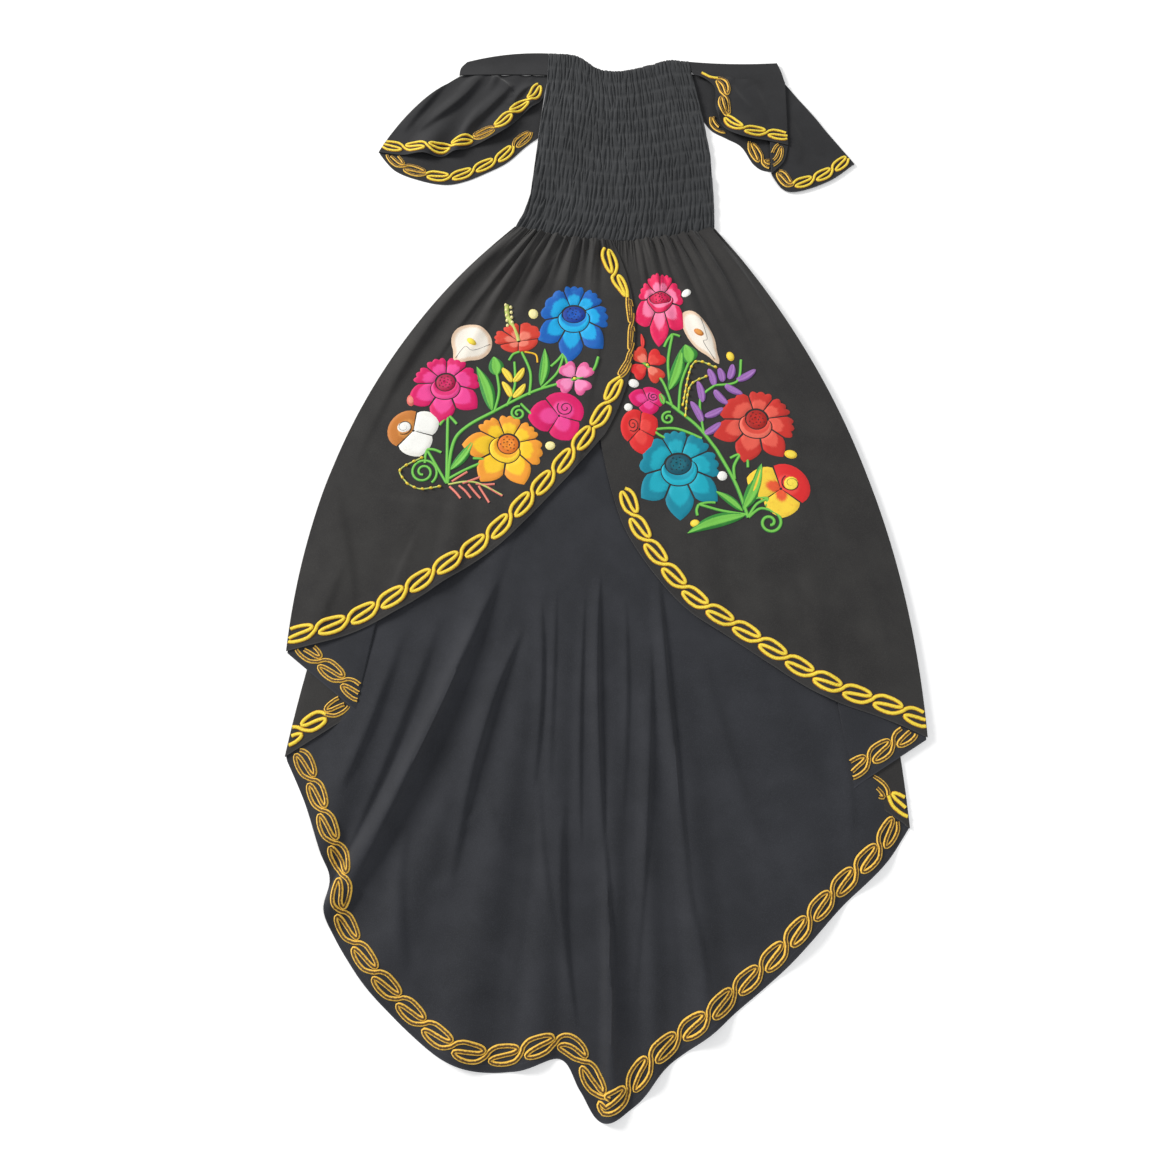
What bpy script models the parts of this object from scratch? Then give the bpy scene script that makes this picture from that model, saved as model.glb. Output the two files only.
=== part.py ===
"""Embroidered off-shoulder dress, laid out flat with its front up.

Metres, +Z up. The neckline points to +Y and the train to -Y. The origin lies on the flat
underside of the train, near the middle of the garment.
"""

import math
from collections import namedtuple

import bmesh
import bpy
from mathutils import Vector
from mathutils.bvhtree import BVHTree

# Driving dimensions
CLOTH = 0.0012
BAND_WALL = 0.0024
SEAM_GAP = 0.0004
WAIST_Y = 0.436
WAIST_DIP = 0.020
WAIST_MIDDLE = 0.024
WAIST_HALF = 0.146
NECK_Y = 0.760

# Heights of the middle of each cloth layer above the floor
FLOOR_LAYER = CLOTH / 2
SECOND_LAYER = 0.0028
THIRD_LAYER = 0.0050
SLOPE_LAYER = 0.0056
SIDE_LAYER = 0.0066
UNDER_LAP = 0.0034
MIDDLE_LAYER = 0.0044
OVER_LAP = 0.0054
TOP_LAYER = 0.0066
BAND_BACK = BAND_WALL / 2
BAND_FRONT = 0.0040

# Shirred bodice
BODICE_BACK = 0.0016
BODICE_FRONT_UNDER = 0.0020
BODICE_FRONT_WALL = 0.0014
BODICE_GATHERS = 34
BODICE_ELASTICS = 12
GATHER_HEIGHT = 0.0030
ELASTIC_SHARE = 0.30
PUFF_LEAST = 0.64
PUFF_TURN_ACROSS = 2.9
PUFF_TURN_UP = 1.7
BACK_COLUMNS = 12
BACK_ROWS = 8

# Embroidery, and how far around each of its points it clears the cloth
THREAD_GAP = 0.0005
BLOOM_HEIGHT = 0.0016
BLOOM_EDGE = 0.55
BLOOM_RING = 0.55
BLOOM_CLEARS = 0.17
STEM_WIDTH = 0.0045
STEM_HEIGHT = 0.0010
CORD_HEIGHT = 0.0012
CORD_CLEARS = 0.0110
SCROLL_PITCH = 0.042
OPENING_BORDER = (0.12, 0.88)
SKIRT_INSET = 0.0200
SKIRT_WIDE = 0.0095
SLEEVE_INSET = 0.0150
SLEEVE_WIDE = 0.0075
NECK_SHARE = 0.45

# Mesh fineness
SKIRT_ROWS = 14
TRAIN_ROWS = 16
SLEEVE_ROWS = 6
TURN_STEPS = 4
NEAREST_COLUMNS = 0.12
HEM_STEP = 0.05
OPENING_STEP = 0.02
PETAL_POINTS = 4
LEAF_POINTS = 12
STEM_STEPS = 3
STATION_SPACING = 0.0105
FINE_STEPS = 400
CLEAR_DIRECTIONS = 16

# A rib is one line of cloth from its upper end to the hem. Its bow is how far its middle
# stands out from the straight line between its ends, to the left as seen going down.
Rib = namedtuple("Rib", "top_x top_y hem_x hem_y bow level")

# A fold stands on the ribs' own numbering. Its top height dies out at the reach, a share of the
# rib's length, and its hem height grows from there.
Fold = namedtuple("Fold", "at half_width top_height reach hem_height")

Layer = namedtuple("Layer", "ribs folds")
Bloom = namedtuple("Bloom", "name x y width height turn petals notch colour")
Place = namedtuple("Place", "x y")
Border = namedtuple("Border", "name piece layer start end inset wide")


def waist_y(x):
    """Height of the waist seam, which dips towards the middle of the front."""
    share = (x - WAIST_MIDDLE) / WAIST_HALF
    return WAIST_Y - WAIST_DIP * (1.0 - share * share)


def skirt_rib(top_x, hem_x, hem_y, bow, level):
    """A rib that hangs from the waist seam."""
    return Rib(top_x, waist_y(top_x), hem_x, hem_y, bow, level)


# Skirt front, left: from the side seam to the opening edge
FRONT_LEFT = Layer(
    ribs=[
        skirt_rib(-0.1220, -0.4175, -0.2035, 0.072, SIDE_LAYER),
        skirt_rib(-0.1050, -0.3370, -0.1810, 0.054, SIDE_LAYER),
        skirt_rib(-0.0880, -0.2725, -0.1470, 0.038, SIDE_LAYER),
        skirt_rib(-0.0680, -0.2205, -0.1125, 0.024, SLOPE_LAYER),
        skirt_rib(-0.0450, -0.1410, -0.0560, 0.011, MIDDLE_LAYER),
        skirt_rib(-0.0220, -0.0600, 0.0300, 0.000, MIDDLE_LAYER),
        skirt_rib(0.0000, -0.0220, 0.0750, -0.015, OVER_LAP),
        skirt_rib(0.0160, 0.0030, 0.1050, -0.038, OVER_LAP),
    ],
    folds=[
        Fold(0.5, 0.5, 0.0040, 0.45, 0.0020),
        Fold(1.3, 0.3, 0.0055, 0.30, 0.0000),
        Fold(1.9, 0.3, 0.0060, 0.55, 0.0015),
        Fold(2.5, 0.3, 0.0045, 0.25, 0.0000),
        Fold(3.1, 0.3, 0.0060, 0.40, 0.0030),
        Fold(3.7, 0.3, 0.0040, 0.22, 0.0000),
        Fold(4.3, 0.3, 0.0060, 0.35, 0.0015),
        Fold(4.9, 0.3, 0.0045, 0.25, 0.0000),
        Fold(5.5, 0.3, 0.0050, 0.45, 0.0020),
        Fold(6.1, 0.3, 0.0030, 0.30, 0.0000),
    ],
)

# Skirt front, right: from its opening edge, hidden under the left front, to the side seam
FRONT_RIGHT = Layer(
    ribs=[
        skirt_rib(0.0000, 0.0100, 0.0250, 0.020, UNDER_LAP),
        skirt_rib(0.0180, 0.0290, -0.0350, 0.010, UNDER_LAP),
        skirt_rib(0.0360, 0.0680, -0.0985, 0.000, UNDER_LAP),
        skirt_rib(0.0560, 0.1140, -0.1500, -0.008, UNDER_LAP),
        skirt_rib(0.0780, 0.1780, -0.1940, -0.018, MIDDLE_LAYER),
        skirt_rib(0.1000, 0.2415, -0.2380, -0.030, SLOPE_LAYER),
        skirt_rib(0.1220, 0.2920, -0.2670, -0.042, SIDE_LAYER),
        skirt_rib(0.1460, 0.3545, -0.2900, -0.054, SIDE_LAYER),
        skirt_rib(0.1690, 0.4110, -0.3150, -0.065, SIDE_LAYER),
    ],
    folds=[
        Fold(2.9, 0.3, 0.0045, 0.30, 0.0000),
        Fold(3.5, 0.3, 0.0060, 0.40, 0.0025),
        Fold(4.1, 0.3, 0.0045, 0.25, 0.0000),
        Fold(4.7, 0.3, 0.0060, 0.45, 0.0015),
        Fold(5.3, 0.3, 0.0045, 0.30, 0.0000),
        Fold(5.9, 0.3, 0.0060, 0.40, 0.0030),
        Fold(6.5, 0.3, 0.0050, 0.25, 0.0000),
        Fold(7.4, 0.5, 0.0045, 0.50, 0.0020),
    ],
)

# Side folds of the skirt back, from each side seam in to the train
LEFT_SEAM = skirt_rib(-0.1205, -0.4160, -0.2060, 0.071, THIRD_LAYER)
LEFT_INNER = skirt_rib(-0.1080, -0.3210, -0.2815, 0.030, THIRD_LAYER)
LEFT_OUTER = skirt_rib(-0.1180, -0.4090, -0.3390, 0.045, SECOND_LAYER)
RIGHT_SEAM = skirt_rib(0.1675, 0.4095, -0.3180, -0.064, THIRD_LAYER)
RIGHT_INNER = skirt_rib(0.1550, 0.3110, -0.3780, -0.022, THIRD_LAYER)
RIGHT_OUTER = skirt_rib(0.1650, 0.3790, -0.4260, -0.050, SECOND_LAYER)

# The train, from its left outer fold to its right one
TRAIN = Layer(
    ribs=[
        LEFT_OUTER._replace(level=FLOOR_LAYER),
        skirt_rib(-0.1080, -0.3810, -0.3930, 0.030, FLOOR_LAYER),
        skirt_rib(-0.0970, -0.3550, -0.4530, 0.005, FLOOR_LAYER),
        skirt_rib(-0.0860, -0.3420, -0.4860, -0.030, FLOOR_LAYER),
        skirt_rib(-0.0750, -0.3440, -0.5250, -0.070, FLOOR_LAYER),
        skirt_rib(-0.0640, -0.3190, -0.5730, -0.070, FLOOR_LAYER),
        skirt_rib(-0.0520, -0.2660, -0.6330, -0.050, FLOOR_LAYER),
        skirt_rib(-0.0400, -0.2100, -0.6785, -0.030, FLOOR_LAYER),
        skirt_rib(-0.0280, -0.1590, -0.7000, -0.015, FLOOR_LAYER),
        skirt_rib(-0.0160, -0.1100, -0.7010, -0.005, FLOOR_LAYER),
        skirt_rib(-0.0040, -0.0570, -0.6880, 0.000, FLOOR_LAYER),
        skirt_rib(0.0080, -0.0330, -0.7220, 0.000, FLOOR_LAYER),
        skirt_rib(0.0200, -0.0080, -0.7540, 0.000, FLOOR_LAYER),
        skirt_rib(0.0320, 0.0340, -0.7350, 0.000, FLOOR_LAYER),
        skirt_rib(0.0440, 0.0640, -0.7000, 0.000, FLOOR_LAYER),
        skirt_rib(0.0560, 0.1080, -0.6700, 0.005, FLOOR_LAYER),
        skirt_rib(0.0700, 0.1560, -0.6350, 0.005, FLOOR_LAYER),
        skirt_rib(0.0860, 0.2125, -0.5910, 0.000, FLOOR_LAYER),
        skirt_rib(0.1040, 0.2730, -0.5320, -0.010, FLOOR_LAYER),
        skirt_rib(0.1240, 0.3140, -0.4965, -0.025, FLOOR_LAYER),
        skirt_rib(0.1450, 0.3520, -0.4610, -0.040, FLOOR_LAYER),
        RIGHT_OUTER._replace(level=FLOOR_LAYER),
    ],
    folds=[
        Fold(2.0, 1.0, 0.0, 0.45, 0.0070),
        Fold(4.0, 0.7, 0.0, 0.30, 0.0090),
        Fold(5.6, 0.6, 0.0, 0.45, 0.0050),
        Fold(7.5, 1.0, 0.0, 0.40, 0.0080),
        Fold(9.4, 0.6, 0.0, 0.45, 0.0060),
        Fold(12.3, 0.5, 0.0, 0.50, 0.0070),
        Fold(13.7, 0.7, 0.0, 0.42, 0.0060),
        Fold(15.3, 0.7, 0.0, 0.48, 0.0090),
        Fold(17.6, 1.0, 0.0, 0.55, 0.0060),
        Fold(19.5, 1.0, 0.0, 0.55, 0.0050),
    ],
)

SKIRT_BACK = [
    Layer([LEFT_SEAM, LEFT_INNER], []),
    Layer([LEFT_INNER._replace(level=SECOND_LAYER), LEFT_OUTER], []),
    TRAIN,
    Layer([RIGHT_OUTER, RIGHT_INNER._replace(level=SECOND_LAYER)], []),
    Layer([RIGHT_INNER, RIGHT_SEAM], []),
]

# Shoulder bands: their ribs run from the bodice outwards, the top edge is a fold
BAND_LEFT = [
    Layer([
        Rib(-0.0840, 0.7175, -0.2200, 0.7180, 0.001, BAND_FRONT),
        Rib(-0.0835, 0.7400, -0.2215, 0.7290, 0.003, BAND_FRONT),
        Rib(-0.0835, 0.7590, -0.2200, 0.7400, 0.006, BAND_FRONT),
    ], []),
    Layer([
        Rib(-0.0835, 0.7590, -0.2200, 0.7400, 0.006, BAND_BACK),
        Rib(-0.0835, 0.7195, -0.2190, 0.7195, 0.001, BAND_BACK),
    ], []),
]
BAND_RIGHT = [
    Layer([
        Rib(0.1444, 0.7245, 0.2900, 0.7035, 0.006, BAND_FRONT),
        Rib(0.1428, 0.7335, 0.2860, 0.7220, 0.005, BAND_FRONT),
        Rib(0.1413, 0.7425, 0.2800, 0.7400, 0.003, BAND_FRONT),
    ], []),
    Layer([
        Rib(0.1413, 0.7425, 0.2800, 0.7400, 0.003, BAND_BACK),
        Rib(0.1442, 0.7260, 0.2885, 0.7055, 0.006, BAND_BACK),
    ], []),
]

# Left flounce: its front, then its back, which shows below it
FLOUNCE_LEFT = [
    Layer(
        ribs=[
            Rib(-0.0845, 0.7168, -0.0845, 0.7035, 0.0, SECOND_LAYER),
            Rib(-0.1000, 0.7165, -0.0950, 0.6700, 0.0, SECOND_LAYER),
            Rib(-0.1150, 0.7165, -0.1240, 0.6395, 0.0, SECOND_LAYER),
            Rib(-0.1330, 0.7165, -0.1510, 0.6080, 0.0, SECOND_LAYER),
            Rib(-0.1520, 0.7168, -0.2030, 0.5820, 0.0, SECOND_LAYER),
            Rib(-0.1700, 0.7170, -0.2425, 0.5660, 0.002, SECOND_LAYER),
            Rib(-0.1880, 0.7172, -0.2720, 0.5675, 0.005, SECOND_LAYER),
            Rib(-0.2050, 0.7172, -0.3090, 0.5695, 0.009, SECOND_LAYER),
            Rib(-0.2210, 0.7160, -0.3415, 0.5745, 0.013, SECOND_LAYER),
        ],
        folds=[
            Fold(1.5, 0.5, 0.0010, 0.2, 0.0040),
            Fold(3.0, 1.0, 0.0020, 0.3, 0.0070),
            Fold(4.5, 0.5, 0.0020, 0.3, 0.0060),
            Fold(6.0, 1.0, 0.0025, 0.3, 0.0080),
        ],
    ),
    Layer(
        ribs=[
            Rib(-0.2210, 0.7160, -0.3415, 0.5745, 0.013, FLOOR_LAYER),
            Rib(-0.1980, 0.7165, -0.3150, 0.5420, 0.006, FLOOR_LAYER),
            Rib(-0.1780, 0.7165, -0.2740, 0.5240, 0.0, FLOOR_LAYER),
            Rib(-0.1580, 0.7165, -0.2370, 0.5170, 0.0, FLOOR_LAYER),
            Rib(-0.1380, 0.7165, -0.2080, 0.5225, 0.0, FLOOR_LAYER),
            Rib(-0.1200, 0.7165, -0.1770, 0.5370, 0.0, FLOOR_LAYER),
            Rib(-0.1050, 0.7165, -0.1440, 0.5565, 0.0, FLOOR_LAYER),
            Rib(-0.0950, 0.7165, -0.1160, 0.5850, 0.0, FLOOR_LAYER),
            Rib(-0.0855, 0.7165, -0.0990, 0.6020, 0.0, FLOOR_LAYER),
        ],
        folds=[],
    ),
]

# Right flounce: it doubles under at the front's outer edge, out again and back to the bodice
RIGHT_EDGE = Rib(0.2900, 0.7015, 0.2880, 0.5840, 0.0, TOP_LAYER)
RIGHT_TUCK = Rib(0.2640, 0.7015, 0.2600, 0.5340, 0.0, THIRD_LAYER)
RIGHT_TIP = Rib(0.2915, 0.7005, 0.3885, 0.5530, 0.0, SECOND_LAYER)
FLOUNCE_RIGHT = [
    Layer(
        ribs=[
            Rib(0.1452, 0.7222, 0.1462, 0.7170, 0.0, TOP_LAYER),
            Rib(0.1610, 0.7195, 0.1640, 0.7090, 0.0, TOP_LAYER),
            Rib(0.1760, 0.7160, 0.1800, 0.6900, 0.0, TOP_LAYER),
            Rib(0.1950, 0.7115, 0.1790, 0.6550, 0.0, TOP_LAYER),
            Rib(0.2150, 0.7065, 0.1880, 0.6210, 0.0, TOP_LAYER),
            Rib(0.2360, 0.7025, 0.2140, 0.5985, 0.0, TOP_LAYER),
            Rib(0.2620, 0.7015, 0.2540, 0.5930, 0.0, TOP_LAYER),
            RIGHT_EDGE,
        ],
        folds=[Fold(3.5, 0.5, 0.0015, 0.3, 0.0040), Fold(5.0, 1.0, 0.0030, 0.5, 0.0050)],
    ),
    Layer(
        ribs=[
            RIGHT_EDGE._replace(level=THIRD_LAYER),
            Rib(0.2770, 0.7015, 0.2800, 0.5560, 0.0, THIRD_LAYER),
            RIGHT_TUCK,
        ],
        folds=[],
    ),
    Layer(
        ribs=[
            RIGHT_TUCK._replace(level=SECOND_LAYER),
            Rib(0.2700, 0.7015, 0.2770, 0.5065, 0.0, SECOND_LAYER),
            Rib(0.2770, 0.7012, 0.3040, 0.5045, 0.0, SECOND_LAYER),
            Rib(0.2845, 0.7010, 0.3510, 0.5240, 0.0, SECOND_LAYER),
            RIGHT_TIP,
        ],
        folds=[],
    ),
    Layer(
        ribs=[
            RIGHT_TIP._replace(level=FLOOR_LAYER),
            Rib(0.2700, 0.7010, 0.3300, 0.5400, 0.0, FLOOR_LAYER),
            Rib(0.2450, 0.7015, 0.2620, 0.5400, 0.0, FLOOR_LAYER),
            Rib(0.2250, 0.7045, 0.2365, 0.5510, 0.0, FLOOR_LAYER),
            Rib(0.2050, 0.7090, 0.2175, 0.5850, 0.0, FLOOR_LAYER),
            Rib(0.1850, 0.7140, 0.1960, 0.6000, 0.0, FLOOR_LAYER),
            Rib(0.1640, 0.7185, 0.1735, 0.6140, 0.0, FLOOR_LAYER),
            Rib(0.1450, 0.7215, 0.1606, 0.6325, 0.0, FLOOR_LAYER),
        ],
        folds=[],
    ),
]

# Bodice outline: height, left edge, right edge
BodiceRow = namedtuple("BodiceRow", "y left right")
BODICE_ROWS = [
    BodiceRow(0.434, -0.1220, 0.1690),
    BodiceRow(0.500, -0.1120, 0.1700),
    BodiceRow(0.575, -0.0990, 0.1680),
    BodiceRow(0.640, -0.0920, 0.1600),
    BodiceRow(0.700, -0.0835, 0.1505),
    BodiceRow(0.750, -0.0815, 0.1420),
]

# Neckline: place across from the left edge, height
NeckRow = namedtuple("NeckRow", "share y")
NECK_ROWS = [
    NeckRow(0.00, 0.7590),
    NeckRow(0.20, 0.7540),
    NeckRow(0.36, 0.7290),
    NeckRow(0.52, 0.7250),
    NeckRow(0.74, 0.7370),
    NeckRow(0.86, 0.7460),
    NeckRow(1.00, 0.7430),
]

# How matt the cloths and the threads are
CLOTH_ROUGHNESS = 0.85
BODICE_ROUGHNESS = 0.90
SATIN_ROUGHNESS = 0.45
CORD_ROUGHNESS = 0.50

# Thread and cloth colours
BLACK = (0.022, 0.021, 0.021)
GREY_BLACK = (0.028, 0.029, 0.032)
YELLOW = (0.90, 0.55, 0.03)
BLUE = (0.01, 0.30, 0.75)
CORAL = (0.80, 0.15, 0.10)
CREAM = (0.85, 0.75, 0.62)
MAGENTA = (0.75, 0.02, 0.20)
AMBER = (0.90, 0.42, 0.04)
BROWN = (0.55, 0.25, 0.06)
ROSE = (0.75, 0.12, 0.25)
TEAL = (0.00, 0.35, 0.42)
RED = (0.75, 0.06, 0.05)
GREEN = (0.12, 0.40, 0.05)

# A bloom with one petal is a plain oval: a calla or a leaf
LEFT_BLOOMS = [
    Bloom("rose_blue", -0.041, 0.283, 0.098, 0.108, 0.0, 6, 0.12, BLUE),
    Bloom("hibiscus_coral", -0.122, 0.257, 0.068, 0.050, 0.1, 5, 0.16, CORAL),
    Bloom("calla_white", -0.188, 0.246, 0.068, 0.062, 0.4, 1, 0.10, CREAM),
    Bloom("rose_magenta", -0.223, 0.176, 0.094, 0.090, 0.3, 6, 0.12, MAGENTA),
    Bloom("bud_brown", -0.267, 0.108, 0.058, 0.066, 0.2, 3, 0.10, BROWN),
    Bloom("bud_magenta", -0.062, 0.134, 0.068, 0.068, 0.5, 4, 0.10, MAGENTA),
    Bloom("flower_pink", -0.040, 0.190, 0.046, 0.050, 0.8, 4, 0.30, ROSE),
    Bloom("rose_yellow", -0.136, 0.083, 0.100, 0.096, 0.2, 6, 0.12, AMBER),
    Bloom("leaf_left_long", -0.150, 0.186, 0.016, 0.066, -0.3, 1, 0.30, GREEN),
    Bloom("leaf_left_upright", -0.088, 0.214, 0.016, 0.072, -0.5, 1, 0.30, GREEN),
    Bloom("leaf_left_low", -0.213, 0.104, 0.016, 0.056, -0.1, 1, 0.30, GREEN),
]
RIGHT_BLOOMS = [
    Bloom("rose_pink", 0.085, 0.306, 0.064, 0.100, 0.0, 6, 0.12, ROSE),
    Bloom("calla_cream", 0.140, 0.260, 0.044, 0.088, 0.4, 1, 0.10, CREAM),
    Bloom("flower_red", 0.071, 0.215, 0.052, 0.060, 0.4, 4, 0.30, RED),
    Bloom("bud_rose", 0.064, 0.158, 0.040, 0.038, 0.0, 3, 0.10, MAGENTA),
    Bloom("bud_red", 0.0535, 0.112, 0.050, 0.058, 0.4, 3, 0.10, RED),
    Bloom("rose_red", 0.214, 0.119, 0.104, 0.098, 0.1, 6, 0.12, RED),
    Bloom("rose_teal", 0.105, 0.050, 0.108, 0.118, 0.2, 6, 0.12, TEAL),
    Bloom("bud_amber", 0.244, 0.024, 0.074, 0.066, 0.3, 3, 0.10, AMBER),
    Bloom("leaf_right_wide", 0.153, -0.024, 0.026, 0.070, 1.4, 1, 0.30, GREEN),
    Bloom("leaf_right_upright", 0.196, 0.034, 0.018, 0.060, -0.1, 1, 0.30, GREEN),
    Bloom("leaf_right_high", 0.118, 0.212, 0.016, 0.066, 0.2, 1, 0.30, GREEN),
]

LEFT_STEM = [
    Place(-0.221, 0.036),
    Place(-0.203, 0.066),
    Place(-0.185, 0.120),
    Place(-0.140, 0.152),
    Place(-0.100, 0.166),
    Place(-0.068, 0.176),
]
RIGHT_STEM = [
    Place(0.190, -0.014),
    Place(0.181, 0.020),
    Place(0.166, 0.056),
    Place(0.150, 0.095),
    Place(0.124, 0.128),
    Place(0.101, 0.150),
    Place(0.090, 0.174),
]

# Scrolled borders along the hem of one layer of a piece, between two of its rib numbers
BORDERS = [
    Border("border_hem_left", "skirt_front_left", 0, 0.15, 6.85, SKIRT_INSET, SKIRT_WIDE),
    Border("border_hem_right", "skirt_front_right", 0, 0.15, 7.85, SKIRT_INSET, SKIRT_WIDE),
    Border("border_train", "skirt_back", 2, 0.35, 20.7, SKIRT_INSET, SKIRT_WIDE),
    Border("border_left_upper_fold", "skirt_back", 0, 0.50, 0.92, SKIRT_INSET, SKIRT_WIDE),
    Border("border_left_lower_fold", "skirt_back", 1, 0.45, 0.92, SKIRT_INSET, SKIRT_WIDE),
    Border("border_right_lower_fold", "skirt_back", 3, 0.10, 0.55, SKIRT_INSET, SKIRT_WIDE),
    Border("border_right_upper_fold", "skirt_back", 4, 0.08, 0.50, SKIRT_INSET, SKIRT_WIDE),
    Border("border_flounce_left_front", "flounce_left", 0, 1.20, 7.85, SLEEVE_INSET, SLEEVE_WIDE),
    Border("border_flounce_left_back", "flounce_left", 1, 1.30, 6.80, SLEEVE_INSET, SLEEVE_WIDE),
    Border("border_flounce_right_front", "flounce_right", 0, 3.00, 6.90, SLEEVE_INSET, SLEEVE_WIDE),
    Border("border_flounce_right_back", "flounce_right", 2, 1.00, 3.85, SLEEVE_INSET, SLEEVE_WIDE),
]


def clear_scene():
    for item in list(bpy.data.objects):
        bpy.data.objects.remove(item, do_unlink=True)


def make_collection(name):
    collection = bpy.data.collections.new(name)
    bpy.context.scene.collection.children.link(collection)
    return collection


def make_material(name, colour, roughness):
    material = bpy.data.materials.new(name)
    material.use_nodes = True
    shader = material.node_tree.nodes["Principled BSDF"]
    shader.inputs["Base Color"].default_value = (*colour, 1.0)
    shader.inputs["Roughness"].default_value = roughness
    shader.inputs["Metallic"].default_value = 0.0
    return material


def add_object(name, mesh, colour, roughness, collection):
    """Turns a bmesh into a smooth-shaded object of its own material."""
    bmesh.ops.recalc_face_normals(mesh, faces=mesh.faces)
    data = bpy.data.meshes.new(name)
    mesh.to_mesh(data)
    mesh.free()
    data.shade_smooth()
    data.materials.append(make_material(name + "_finish", colour, roughness))
    item = bpy.data.objects.new(name, data)
    collection.objects.link(item)
    return item


def smooth_step(value):
    value = min(max(value, 0.0), 1.0)
    return value * value * (3.0 - 2.0 * value)


def curve_value(before, start, end, after, part):
    """A smooth curve from start to end that follows the values on both sides."""
    slope_start = (end - before) / 2.0
    slope_end = (after - start) / 2.0
    rise = end - start
    bend = 3.0 * rise - 2.0 * slope_start - slope_end
    twist = slope_start + slope_end - 2.0 * rise
    return start + part * (slope_start + part * (bend + part * twist))


def table_value(rows, at):
    """The row at a fractional row number, on a smooth curve through the table's rows."""
    last = len(rows) - 1
    low = min(int(at), last - 1)
    near = (rows[max(low - 1, 0)], rows[low], rows[low + 1], rows[min(low + 2, last)])
    values = [curve_value(*column, at - low) for column in zip(*near)]
    return type(rows[0])(*values)


def rib_place(rib, along):
    """Plan point on a rib, from 0 at its upper end to 1 at the hem."""
    chord = Vector((rib.hem_x - rib.top_x, rib.hem_y - rib.top_y))
    side = Vector((chord.y, -chord.x)).normalized()
    place = Vector((rib.top_x, rib.top_y)) + chord * along
    return place + side * rib.bow * 4.0 * along * (1.0 - along)


def fold_height(folds, across, along):
    """How far the cloth is lifted by the folds at one place."""
    height = 0.0
    for fold in folds:
        distance = abs(across - fold.at) / fold.half_width
        if distance < 1.0:
            ridge = 0.5 + 0.5 * math.cos(math.pi * distance)
            fading = 1.0 - smooth_step(along / fold.reach)
            growing = smooth_step((along - fold.reach) / (1.0 - fold.reach))
            height += ridge * (fold.top_height * fading + fold.hem_height * growing)
    return height


def layer_point(layer, across, along):
    rib = table_value(layer.ribs, across)
    place = rib_place(rib, along)
    return Vector((place.x, place.y, rib.level + fold_height(layer.folds, across, along)))


def column_places(layer):
    """Columns at every rib, and at the crown and feet of every fold."""
    last = len(layer.ribs) - 1
    wanted = []
    for fold in layer.folds:
        wanted += [fold.at, fold.at - fold.half_width, fold.at + fold.half_width]
    wanted += [float(number) for number in range(last + 1)]
    places = [0.0, float(last)]
    for place in wanted:
        if 0.0 < place < last and all(abs(place - other) > NEAREST_COLUMNS for other in places):
            places.append(place)
    return sorted(places)


def turn_columns(before, edge, next_level):
    """Columns around a folded edge, from the layer that ends there up or down to the next."""
    columns = [[] for _ in range(TURN_STEPS + 1)]
    for previous, fold in zip(before, edge):
        rise = next_level - fold.z
        radius = abs(rise) / 2.0
        outward = Vector((fold.x - previous.x, fold.y - previous.y, 0.0)).normalized()
        centre = fold - outward * radius
        for step in range(TURN_STEPS + 1):
            angle = math.pi * step / TURN_STEPS
            lift = Vector((0.0, 0.0, (1.0 - math.cos(angle)) / 2.0 * rise))
            columns[step].append(centre + outward * radius * math.sin(angle) + lift)
    return columns


def sheet_columns(layers, rows):
    """Grid points of cloth that runs through all its layers, with a turn between each two."""
    columns = []
    for number, layer in enumerate(layers):
        places = column_places(layer)
        points = [[layer_point(layer, across, row / rows) for row in range(rows + 1)] for across in places]
        if number > 0:
            points = points[1:]
        if number < len(layers) - 1:
            next_level = layers[number + 1].ribs[0].level
            before = points[-2] if len(points) > 1 else columns[-1]
            points = points[:-1] + turn_columns(before, points[-1], next_level)
        columns += points
    return columns


def grid_mesh(columns):
    """An open grid of faces through the given columns of points."""
    mesh = bmesh.new()
    bmesh.ops.create_grid(mesh, x_segments=len(columns) - 1, y_segments=len(columns[0]) - 1, size=1.0)
    mesh.verts.ensure_lookup_table()
    for number, vertex in enumerate(mesh.verts):
        vertex.co = columns[number % len(columns)][number // len(columns)]
    return mesh


def extruded_vertices(mesh, faces):
    """Extrudes faces into a closed solid and gives the vertices of its new side."""
    made = bmesh.ops.extrude_face_region(mesh, geom=faces)["geom"]
    return [part for part in made if isinstance(part, bmesh.types.BMVert)]


def cloth_piece(name, layers, rows, wall, colour, collection):
    """One cut piece as a wall of cloth."""
    mesh = grid_mesh(sheet_columns(layers, rows))
    item = add_object(name, mesh, colour, CLOTH_ROUGHNESS, collection)
    thickness = item.modifiers.new("thickness", "SOLIDIFY")
    thickness.thickness = wall
    thickness.offset = 0.0
    return item


def bodice_edges(y):
    """Left and right edge of the bodice at a height."""
    for low, high in zip(BODICE_ROWS, BODICE_ROWS[1:]):
        if y <= high.y:
            break
    share = (y - low.y) / (high.y - low.y)
    return low.left + share * (high.left - low.left), low.right + share * (high.right - low.right)


def neck_height(share):
    """Height of the neckline at a share across from its left end."""
    number = 0
    while share > NECK_ROWS[number + 1].share:
        number += 1
    low, high = NECK_ROWS[number], NECK_ROWS[number + 1]
    return table_value(NECK_ROWS, number + (share - low.share) / (high.share - low.share)).y


def bodice_place(share, up):
    """Plan point of the bodice, by its share across and its share up from the waist."""
    left, right = bodice_edges(WAIST_Y + up * (NECK_Y - WAIST_Y))
    x = left + share * (right - left)
    bottom = waist_y(x) + SEAM_GAP
    return x, bottom + up * (neck_height(share) - bottom)


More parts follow.
